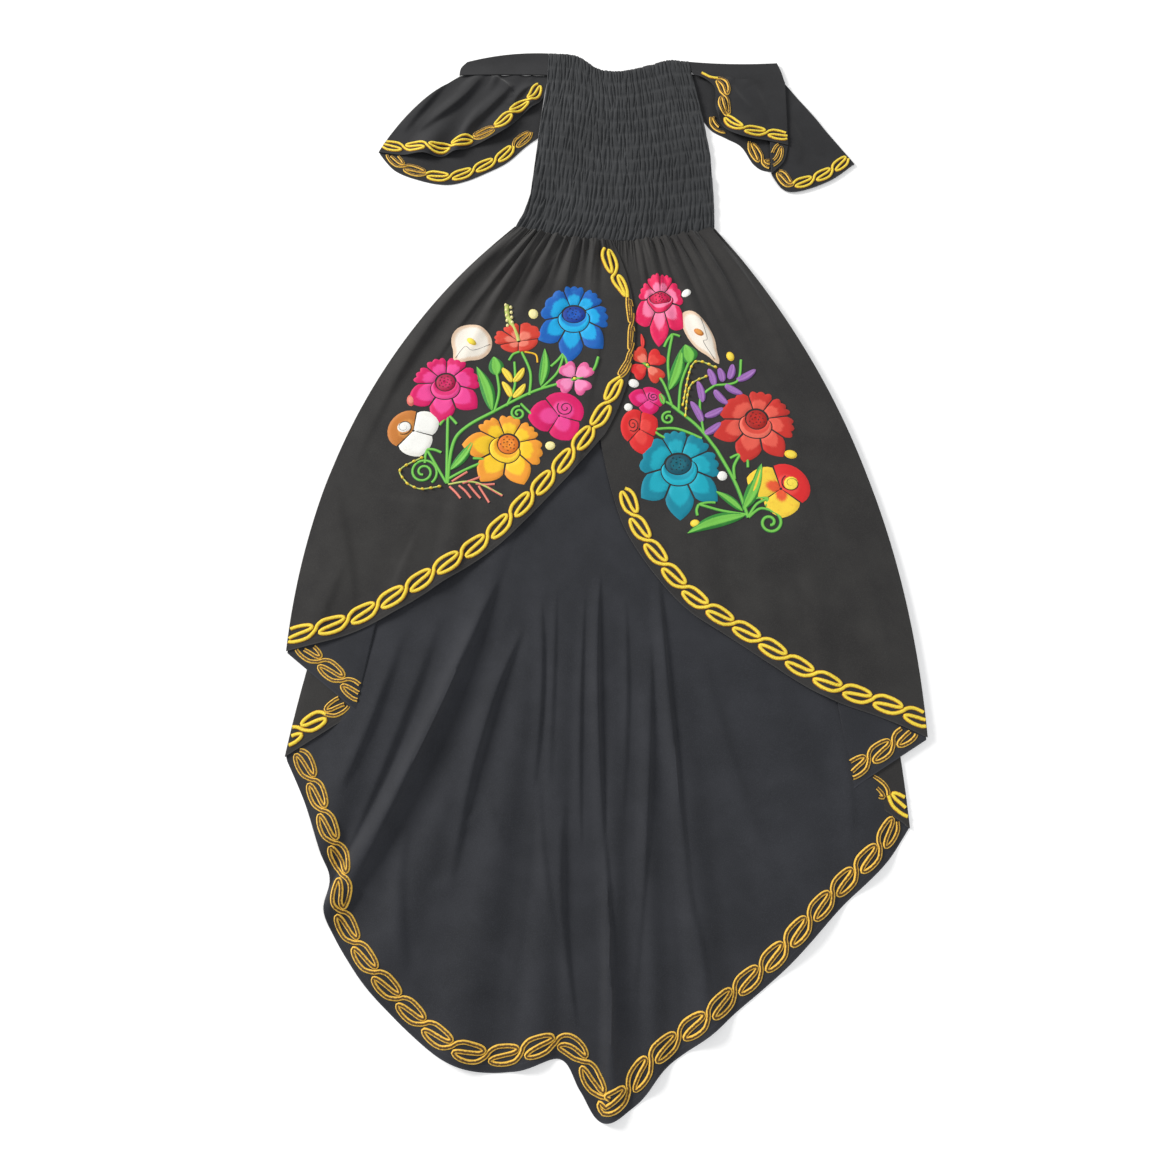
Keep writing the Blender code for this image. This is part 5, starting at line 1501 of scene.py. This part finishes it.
def rose(work, bloom, petals):
    """A full rose: petals round an eye with stamens, and a broad lip below the eye."""
    palette = PALETTES[bloom.palette]
    shape = bloom.width / bloom.height
    reach, flat = EYE_REACH / shape, EYE_FLAT * shape ** 2
    lift = ROSE_LIFT + NARROW_LIFT * (1.0 - min(shape, 1.0))
    eye, eye_edge = oval(reach, flat), oval(reach + EYE_RIM, flat)

    def cup(angle):
        return eye_edge(angle) + LIP_DEPTH * np.clip(LIP_START - np.sin(angle), 0.0, 1.0) ** 0.7

    petal_ring(work, bloom, petals, lambda angle: cup(angle) + PETAL_GAP, lift)
    heart_patch(work, bloom, eye_edge, cup, HEART_CROWN, palette.lip, lift, *LIP_ANGLES)
    heart_patch(work, bloom, ring(0.0), eye, HEART_CROWN, palette.heart, lift)
    for number in range(EYE_DOTS):
        angle = DOT_TURN * number
        out = DOTS_REACH * math.sqrt((number + 0.5) / EYE_DOTS) * float(eye(angle))
        x, y = turned(bloom, out * math.cos(angle), lift + out * math.sin(angle))
        crown = HEART_CROWN + EYE_DOT_RISE
        dome(work, x, y, *EYE_DOT, bloom.turn + angle, crown, "outline")


def bud(work, bloom):
    """A closed bud: three broad petals, the first with a wound curl."""
    palette = PALETTES[bloom.palette]
    petal_ring(work, bloom, BUD, ring(BUD_WAIST), -BUD_WAIST)
    centre_x, centre_y = BUD_CURL
    if palette.heart != palette.petal:
        x, y = turned(bloom, centre_x, centre_y)
        across, along = bloom.width * BUD_HEART[0], bloom.height * BUD_HEART[1]
        dome(work, x, y, across, along, bloom.turn, PETAL_CROWN + BUD_HEART_RISE, palette.heart)
    turn = np.linspace(0.0, 1.0, BUD_CURL_STEPS)
    angle = BUD_CURL_START + turn * BUD_CURL_TURNS * 2.0 * math.pi
    reach = BUD_CURL_REACH * (1.0 - BUD_CURL_IN * turn)
    x, y = turned(bloom, centre_x + reach * np.cos(angle), centre_y + reach * np.sin(angle))
    path = smooth_path(np.stack([x, y], axis=1))
    cord(work, path, BUD_LINE, PETAL_CROWN + BUD_LINE_RISE, "outline")


def fan(work, bloom):
    """An open trumpet with a long stamen that stands up out of it, beaded at its end."""
    petal_ring(work, bloom, FAN, ring(FAN_WAIST), FAN_LIFT)
    path = smooth_path([turned(bloom, u, v) for u, v in STAMEN])
    cord(work, path, STAMEN_WIDTH, PETAL_CROWN + OUTLINE_RISE, PALETTES[bloom.palette].heart)
    for number in range(STAMEN_DOTS):
        side = STAMEN_DOT_SIDE if number % 2 else -STAMEN_DOT_SIDE
        up = STAMEN_DOT_START + STAMEN_DOT_STEP * number
        x, y = turned(bloom, STAMEN_DOT_LINE + side, up)
        dome(work, x, y, *STAMEN_DOT, bloom.turn, PETAL_CROWN + DOT_CROWN, "pale")


def four_petals(work, bloom):
    """A small open flower: four notched petals round a raised eye."""
    petal_ring(work, bloom, FOUR, ring(FOUR_WAIST), 0.0)
    dome(work, bloom.x, bloom.y, SMALL_EYE, SMALL_EYE, 0.0, DOT_CROWN, "lemon")


def calla(work, bloom):
    """A funnel lily: one wrapped petal with a pointed tip round a long spadix."""
    palette = PALETTES[bloom.palette]

    def outline(angle):
        off = np.mod(angle - math.pi / 2.0, 2.0 * math.pi) - math.pi
        tip = CALLA_TIP * np.exp(-(off / CALLA_TIP_WIDTH) ** 2)
        return CALLA_REACH + CALLA_SWELL * np.cos(2.0 * angle) + tip

    heart_patch(work, bloom, ring(0.0), outline, HEART_CROWN, palette.petal, 0.0)
    crown = PETAL_CROWN + DOT_CROWN
    dome(work, bloom.x, bloom.y, *SPADIX, SPADIX_TURN, crown, palette.heart)
    lip = smooth_path([turned(bloom, u, v) for u, v in CALLA_LIP])
    cord(work, lip, CALLA_LINE, HEART_CROWN + OUTLINE_RISE, "outline")


BLOOM_KINDS = {"bud": bud, "fan": fan, "four": four_petals, "calla": calla}
ROSES = {"rose": ROSE_SEVEN, "rose_six": ROSE_SIX}


def bloom_piece(bloom, ground, threads):
    finishes = bloom_finishes(PALETTES[bloom.palette])
    work = Stitching(bloom.name + "_stitching", ground, finishes)
    if bloom.kind in ROSES:
        rose(work, bloom, ROSES[bloom.kind])
    else:
        BLOOM_KINDS[bloom.kind](work, bloom)
    return work.piece(threads)


def stem_path(stem, spacing=PATH_SPACING):
    rows = [(stem.start_x, stem.start_y), (stem.middle_x, stem.middle_y), (stem.end_x, stem.end_y)]
    return smooth_path(rows, spacing)


def spray_piece(name, ground, threads, spray):
    """Stems, leaves, curls, dots and beaded arcs of one bouquet as one piece."""
    finishes = ["green", "lime", "yellow", "lemon", "salmon", "pale", "white", "purple", "scarlet"]
    work = Stitching(name, ground, finishes)
    for stem in spray.stems:
        cord(work, stem_path(stem), stem.width, STEM_CROWN, stem.finish)
    for curl in spray.spirals:
        cord(work, spiral_path(curl), curl.width, STEM_CROWN, curl.finish)
    for row in spray.leaves:
        leaf(work, (row.base_x, row.base_y), (row.tip_x, row.tip_y), row.width, row.finish)
    for dot in spray.dots:
        dome(work, dot.x, dot.y, dot.across, dot.along, dot.turn, DOT_CROWN, dot.finish)
    for arc in spray.arcs:
        cord(work, stem_path(arc), arc.width * ARC_CORD, STEM_CROWN, "lime")
        beads = stem_path(arc, BEAD_SPACING)
        long, crown = arc.width * BEAD_LENGTH, STEM_CROWN + DOT_CROWN
        for (x, y), (run_x, run_y) in zip(beads, np.gradient(beads, axis=0)):
            dome(work, x, y, long, arc.width, math.atan2(run_y, run_x), crown, arc.finish)
    return work.piece(threads)


def even_line(points, count):
    """The same line with evenly spaced points, and its length."""
    travelled = distances_along(points)
    return points_at(np.linspace(0.0, travelled[-1], count), travelled, points), travelled[-1]


def inner_line(edge, inward, inset, squeeze):
    """A line inside an edge, with its square directions smoothed over its turns, both squeezed."""
    even, length = even_line(edge, HEM_POINTS)
    ahead = np.gradient(even, axis=0)
    square = np.stack([-ahead[:, 1], ahead[:, 0]], axis=1)
    reach = max(int(NORMAL_REACH / (length / HEM_POINTS)), 1)
    padded_squares = np.pad(square, ((reach, reach), (0, 0)), mode="edge")
    window = np.ones(2 * reach + 1)
    smoothed = [np.convolve(padded_squares[:, axis], window, mode="valid") for axis in (0, 1)]
    square = np.stack(smoothed, axis=1)
    square /= np.linalg.norm(square, axis=1)[:, None]
    if np.dot(square[HEM_POINTS // 2], inward) < 0.0:
        square = -square
    shares, kept = zip(*squeeze)
    square = square * np.interp(np.linspace(0.0, 1.0, HEM_POINTS), shares, kept)[:, None]
    return even + square * inset, square


def hem_edge(layer, start, end):
    """Plan points of a layer's hem between two places, and the direction up from it."""
    across = np.linspace(start, end, HEM_POINTS)
    ribs = curve_rows(layer.ribs, across)
    middle = HEM_POINTS // 2
    return ribs[:, 2:4], ribs[middle, 0:2] - ribs[middle, 2:4]


def rib_edge(layer, start, end):
    """Plan points down a layer's last rib between two shares of it, and the direction in."""
    rib = layer.ribs[-1]
    share = np.linspace(start, end, HEM_POINTS)[:, None]
    top, hem = np.array([rib.top_x, rib.top_y]), np.array([rib.hem_x, rib.hem_y])
    chord = hem - top
    side = np.array([chord[1], -chord[0]]) / np.linalg.norm(chord)
    return top + chord * share + side * rib.bow * 4.0 * share * (1.0 - share), np.array([-1.0, 0.0])


def scroll_path(line, square, pitch, half, first, last):
    """Plan points of the scrolls numbered from first to last along a line."""
    table = [(number + row.along, row.across) for number in range(first, last) for row in SCROLL]
    table.append((float(last), 0.0))
    fine = smooth_path(np.array(table) * [pitch, half])
    travelled = distances_along(line)
    at = np.clip(fine[:, 0], 0.0, travelled[-1])
    return points_at(at, travelled, line) + points_at(at, travelled, square) * fine[:, 1:2]


def add_stretch(work, stretch, layer, scrolls, cover):
    """The scrolled cord of one stretch."""
    find_edge = rib_edge if stretch.along_rib else hem_edge
    edge, inward = find_edge(layer, stretch.start, stretch.end)
    line, square = inner_line(edge, inward, scrolls.inset, stretch.squeeze)
    length = np.linalg.norm(np.diff(line, axis=0), axis=1).sum()
    count = max(round(length / scrolls.pitch), 1)
    stops = sorted({0, count} | {round(share * count) for share in stretch.changes})
    for number, (first, last) in enumerate(zip(stops, stops[1:])):
        is_back = stretch.starts_back != (number % 2 == 1)
        path = scroll_path(line, square, length / count, scrolls.half, first, last)
        finish = "border_back" if is_back else "border"
        open_cord(work, path, scrolls.width, BORDER_CROWN, finish, cover)


def border_piece(border, layers, creases, cover, threads):
    """All the stretches of one border as one piece."""
    work = Stitching(border.name + "_cord", None, ["border", "border_back"])
    for stretch in border.stretches:
        layer = layers[stretch.layer]
        work.ground = Ground([layer_tree(layer, creases[stretch.layer], GROUND_MESH)])
        add_stretch(work, stretch, layer, border.scrolls, cover)
    return work.piece(threads)


# Materials

def new_material(name):
    """A material with its Principled shader, and a function that adds and links nodes."""
    material = bpy.data.materials.new(name)
    material.use_nodes = True
    nodes, links = material.node_tree.nodes, material.node_tree.links
    shader = nodes["Principled BSDF"]

    def add(kind, inputs=None, **settings):
        node = nodes.new(kind)
        for setting, value in settings.items():
            setattr(node, setting, value)
        for socket, value in (inputs or {}).items():
            if isinstance(value, bpy.types.NodeSocket):
                links.new(value, node.inputs[socket])
            else:
                node.inputs[socket].default_value = value
        return node

    return material, shader, links, add


def opaque(colour):
    return (colour[0], colour[1], colour[2], 1.0)


def mixed(add, share, first, second):
    """A blend of two colours, each a socket or a colour, by a share."""
    inputs = {0: share, 6: first, 7: second}
    return add("ShaderNodeMix", inputs, data_type="RGBA").outputs[2]


def shaded(add, share, tone, colour, strength):
    """A tone blended by a share towards a stronger or weaker shade of a colour."""
    return mixed(add, share, tone, opaque([value * strength for value in colour]))


def worked_out(add, operation, *values):
    """A calculation on sockets or numbers."""
    return add("ShaderNodeMath", dict(enumerate(values)), operation=operation).outputs[0]


def ranged(add, value, low, high, to_low=0.0, to_high=1.0):
    """A value moved from one range to another, and held at its ends."""
    inputs = {0: value, 1: low, 2: high, 3: to_low, 4: to_high}
    return add("ShaderNodeMapRange", inputs).outputs[0]


def noise(add, place, scale, detail, roughness=0.5):
    inputs = {"Vector": place, "Scale": scale, "Detail": detail, "Roughness": roughness}
    return add("ShaderNodeTexNoise", inputs).outputs[0]


def uv_lines(add):
    """The two coordinates of the piece's own map."""
    split = add("ShaderNodeSeparateXYZ", {0: add("ShaderNodeUVMap", uv_map="UVMap").outputs[0]})
    return split.outputs["X"], split.outputs["Y"]


def waves(add, value, pitch):
    """A sine wave along a value, one turn for each pitch."""
    return worked_out(add, "SINE", worked_out(add, "MULTIPLY", value, 2.0 * math.pi / pitch))


def surface(shader, links, add, tone, relief, look):
    """Gives the shader its colour, its fine relief and its soft shine."""
    inputs = {"Strength": look.relief, "Distance": look.depth, "Height": relief}
    links.new(tone, shader.inputs["Base Color"])
    links.new(add("ShaderNodeBump", inputs).outputs[0], shader.inputs["Normal"])
    shader.inputs["Roughness"].default_value = look.roughness
    shader.inputs["Specular IOR Level"].default_value = look.specular
    shader.inputs["Sheen Weight"].default_value = look.sheen
    shader.inputs["Sheen Roughness"].default_value = look.sheen_roughness


def weave_height(add, place):
    """Height of a plain weave: threads both ways, as a value from 0 to 1."""
    split = add("ShaderNodeSeparateXYZ", {0: place})
    across, along = [waves(add, split.outputs[axis], 2.0 * WEAVE_PITCH) for axis in ("X", "Y")]
    return worked_out(add, "MULTIPLY_ADD", worked_out(add, "MULTIPLY", across, along), 0.5, 0.5)


def stitch_line(add, hem_distance, along):
    """1 on the stitches of a row that runs along the hem, 0 elsewhere."""
    off = worked_out(add, "ABSOLUTE", worked_out(add, "SUBTRACT", hem_distance, HEM_TURN))
    on_row = worked_out(add, "LESS_THAN", off, STITCH_WIDTH)
    on_stitch = worked_out(add, "GREATER_THAN", waves(add, along, STITCH_PITCH), STITCH_GAP)
    return worked_out(add, "MULTIPLY", on_row, on_stitch)


def cloth_material(name, colour, faded, has_hem):
    """Matt woven cotton with soft fading, and with wear and stitches along a hem if it has one."""
    material, shader, links, add = new_material(name)
    place = add("ShaderNodeTexCoord").outputs["Object"]
    patches = ranged(add, noise(add, place, FADE_SCALE, 4.0, 0.6), 0.38, 0.66)
    tone = mixed(add, patches, opaque(colour), opaque(faded))
    lint = ranged(add, noise(add, place, LINT_SCALE, 2.0), 0.45, 0.75, 0.0, LINT_SHARE)
    tone = shaded(add, lint, tone, faded, LINT_BRIGHT)
    relief = weave_height(add, place)
    if has_hem:
        along, hem_distance = uv_lines(add)
        worn = ranged(add, hem_distance, 0.0, WORN_REACH, WORN_SHARE, 0.0)
        tone = shaded(add, worn, tone, faded, WORN_BRIGHT)
        tone = shaded(add, stitch_line(add, hem_distance, along), tone, colour, STITCH_BRIGHT)
        turned_in = ranged(add, hem_distance, HEM_TURN, HEM_TURN + HEM_STEP, 2.0, 0.0)
        relief = worked_out(add, "ADD", relief, turned_in)
    surface(shader, links, add, tone, relief, CLOTH_LOOK)
    return material


def thread_material(name, shade):
    """Satin-stitched thread: fine strands with painted shade in the grooves between them, and two
    tones that meet in an uneven line.
    """
    material, shader, links, add = new_material(name)
    across, out = uv_lines(add)
    strand = worked_out(add, "MULTIPLY", across, 1.0 / STRAND)
    streak = add("ShaderNodeCombineXYZ", {0: strand, 1: out, 2: 0.0}).outputs[0]
    uneven = ranged(add, noise(add, streak, STREAK_SCALE, 3.0), 0.3, 0.7, -0.08, 0.08)
    reach = worked_out(add, "ADD", out, uneven)
    share = ranged(add, reach, shade.meet - 0.05, shade.meet + 0.06)
    tone = mixed(add, share, opaque(shade.light), opaque(shade.dark))
    wave = waves(add, across, STRAND)
    # Painted shade: the troughs of the strand wave, the grooves between strands, are darkened
    # towards the dark thread
    tone = shaded(add, ranged(add, wave, -1.0, 0.2, 0.30, 0.0), tone, shade.dark, 0.45)
    place = add("ShaderNodeTexCoord").outputs["Object"]
    dulled = ranged(add, noise(add, place, DULL_SCALE, 2.0), 0.55, 0.80, 0.0, 0.25)
    tone = shaded(add, dulled, tone, shade.light, 0.75)
    surface(shader, links, add, tone, wave, THREAD_LOOK)
    return material


def cord_material(name, middle, edge, inner, outer):
    """Couched cord: one thread along its middle and another along both its sides, with painted shade
    in the grooves of its twist.
    """
    material, shader, links, add = new_material(name)
    along, across = uv_lines(add)
    side = worked_out(add, "ABSOLUTE", worked_out(add, "SUBTRACT", across, 0.5))
    place = add("ShaderNodeTexCoord").outputs["Object"]
    uneven = ranged(add, noise(add, place, GRAIN_SCALE, 2.0), 0.3, 0.7, -0.07, 0.07)
    share = ranged(add, worked_out(add, "ADD", side, uneven), inner, outer)
    tone = mixed(add, share, opaque(middle), opaque(edge))
    slant = worked_out(add, "MULTIPLY_ADD", across, CORD_SLANT, along)
    wave = waves(add, slant, CORD_TWIST)
    # Painted shade: the troughs of the twist wave, the grooves of the twisted cord, are darkened
    # towards the edge thread
    tone = shaded(add, ranged(add, wave, -1.0, 0.0, 0.28, 0.0), tone, edge, 0.4)
    surface(shader, links, add, tone, wave, CORD_LOOK)
    return material


def dress_threads():
    threads = {name: thread_material("thread_" + name, shade) for name, shade in SHADES.items()}
    threads["border"] = cord_material("border_cord", CORD_BRIGHT, CORD_EDGE, *FACE_MEET)
    threads["border_back"] = cord_material("border_cord_back", CORD_BROWN, CORD_GOLD, *BACK_MEET)
    return threads


# Assembly

def held(item, slot_name, *nodes):
    """Fixes a piece to the dress, in place of its solids."""
    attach(item, "root")
    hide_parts(*nodes)
    return item


def panel_layers():
    """The layers of each skirt and sleeve piece, and the creases of each layer."""
    return {
        "skirt_front_left": ([gathered(FRONT_LEFT, LEFT_GATHERS, LEFT_SEED)], [CREASES_LEFT]),
        "skirt_front_right": ([gathered(FRONT_RIGHT, RIGHT_GATHERS, RIGHT_SEED)], [CREASES_RIGHT]),
        "skirt_back": (SKIRT_BACK, [[], [], CREASES_TRAIN, [], []]),
        "flounce_left": (FLOUNCE_LEFT, [CREASES_SLEEVE_LEFT, []]),
        "flounce_right": (FLOUNCE_RIGHT, [CREASES_SLEEVE_RIGHT, [], CREASES_SLEEVE_RIGHT_LOW, []]),
    }


def dress_panels(layers):
    """The cloth pieces by the name of the solid that each stands for."""
    right_side = cloth_material("cotton_right_side", BLACK_COLOUR, BLACK_FADED, True)
    wrong_side = cloth_material("cotton_wrong_side", WRONG_COLOUR, WRONG_FADED, True)
    band_side = cloth_material("cotton_band", SLEEVE_COLOUR, SLEEVE_FADED, False)
    shirred = cloth_material("cotton_shirred", BODICE_COLOUR, BODICE_FADED, False)
    sleeve_side = cloth_material("cotton_sleeve", SLEEVE_COLOUR, SLEEVE_FADED, True)
    band, sleeve = [band_side, band_side], [sleeve_side, sleeve_side]
    outside, inside = [right_side, wrong_side], [wrong_side, right_side]
    left_band, right_band = (BAND_LEFT, [[], []]), (BAND_RIGHT, [[], []])
    front, back = bodice_panels(shirred)
    shells = {
        "shoulder_band_left": ("band_left_cloth", left_band, BAND_MESH, band, True, BAND_SHELL),
        "shoulder_band_right": ("band_right_cloth", right_band, BAND_MESH, band, False, BAND_SHELL),
        "flounce_left": ("flounce_left_cloth", layers["flounce_left"], SLEEVE_MESH, sleeve, True),
        "flounce_right": ("flounce_right_cloth", layers["flounce_right"], SLEEVE_MESH, sleeve),
        "skirt_front_left": ("skirt_left_cloth", layers["skirt_front_left"], SKIRT_MESH, outside),
        "skirt_front_right": ("skirt_right_cloth", layers["skirt_front_right"], SKIRT_MESH, outside),
        "skirt_back": ("skirt_back_cloth", layers["skirt_back"], TRAIN_MESH, inside),
    }
    panels = {"bodice_front": front, "bodice_back": back}
    panels.update({node: cloth_shell(*shell) for node, shell in shells.items()})
    return panels


def add_embroidery(panels, layers, threads):
    trees = {name: panel_tree(panels[name]) for name in layers}
    for blooms, panel in ((LEFT_BLOOMS, "skirt_front_left"), (RIGHT_BLOOMS, "skirt_front_right")):
        for bloom in blooms:
            item = bloom_piece(bloom, Ground([trees[panel]]), threads)
            held(item, PALETTES[bloom.palette].slot, bloom.name)
    for name, panel, spray, nodes in SPRAYS:
        held(spray_piece(name, Ground([trees[panel]]), threads, spray), "thread_green", *nodes)
    cover = Ground(list(trees.values()))
    for border in BORDERS:
        own_layers, creases = layers[border.piece]
        item = border_piece(border, own_layers, creases, cover, threads)
        held(item, "thread_yellow", border.name)


def area_light(name, place, aim, size, power, colour):
    data = bpy.data.lights.new(name, "AREA")
    data.shape = "DISK"
    data.size = size
    data.energy = power
    data.color = colour
    item = bpy.data.objects.new(name, data)
    item.location = place
    item.rotation_euler = (Vector(aim) - Vector(place)).to_track_quat("-Z", "Y").to_euler()
    bpy.context.scene.collection.objects.link(item)


def studio():
    """A pale floor, soft light and the camera above the dress."""
    scene = bpy.context.scene
    bpy.ops.mesh.primitive_plane_add(size=FLOOR_SIZE, location=(0.0, 0.0, FLOOR_LEVEL))
    floor = bpy.context.object
    floor.name = "pale_floor"
    material, shader, links, add = new_material("pale_paper")
    place = add("ShaderNodeTexCoord").outputs["Object"]
    grain = noise(add, place, FLOOR_GRAIN, 2.0)
    tone = mixed(add, grain, opaque(FLOOR_COLOUR), opaque(FLOOR_LIGHT))
    links.new(tone, shader.inputs["Base Color"])
    shader.inputs["Roughness"].default_value = FLOOR_ROUGHNESS
    shader.inputs["Emission Color"].default_value = opaque(FLOOR_LIGHT)
    shader.inputs["Emission Strength"].default_value = FLOOR_GLOW
    floor.data.materials.append(material)
    for light in LIGHTS:
        area_light(*light)
    world = bpy.data.worlds.new("soft_room")
    world.use_nodes = True
    world.node_tree.nodes["Background"].inputs[0].default_value = opaque(ROOM_COLOUR)
    world.node_tree.nodes["Background"].inputs[1].default_value = ROOM_LIGHT
    scene.world = world
    camera_data = bpy.data.cameras.new("camera")
    camera_data.lens = LENS
    camera_data.sensor_width = SENSOR
    camera = bpy.data.objects.new("camera", camera_data)
    camera.location = CAMERA_PLACE
    camera.rotation_euler = (math.radians(CAMERA_TILT), 0.0, 0.0)
    scene.collection.objects.link(camera)
    scene.camera = camera
    scene.view_settings.view_transform = "Standard"


def build_scene():
    layers = panel_layers()
    panels = dress_panels(layers)
    for node, item in panels.items():
        held(item, "bodice_cloth" if node.startswith("bodice") else "black_cloth", node)
    add_embroidery(panels, layers, dress_threads())
    studio()
    bpy.context.view_layer.update()


build_scene()
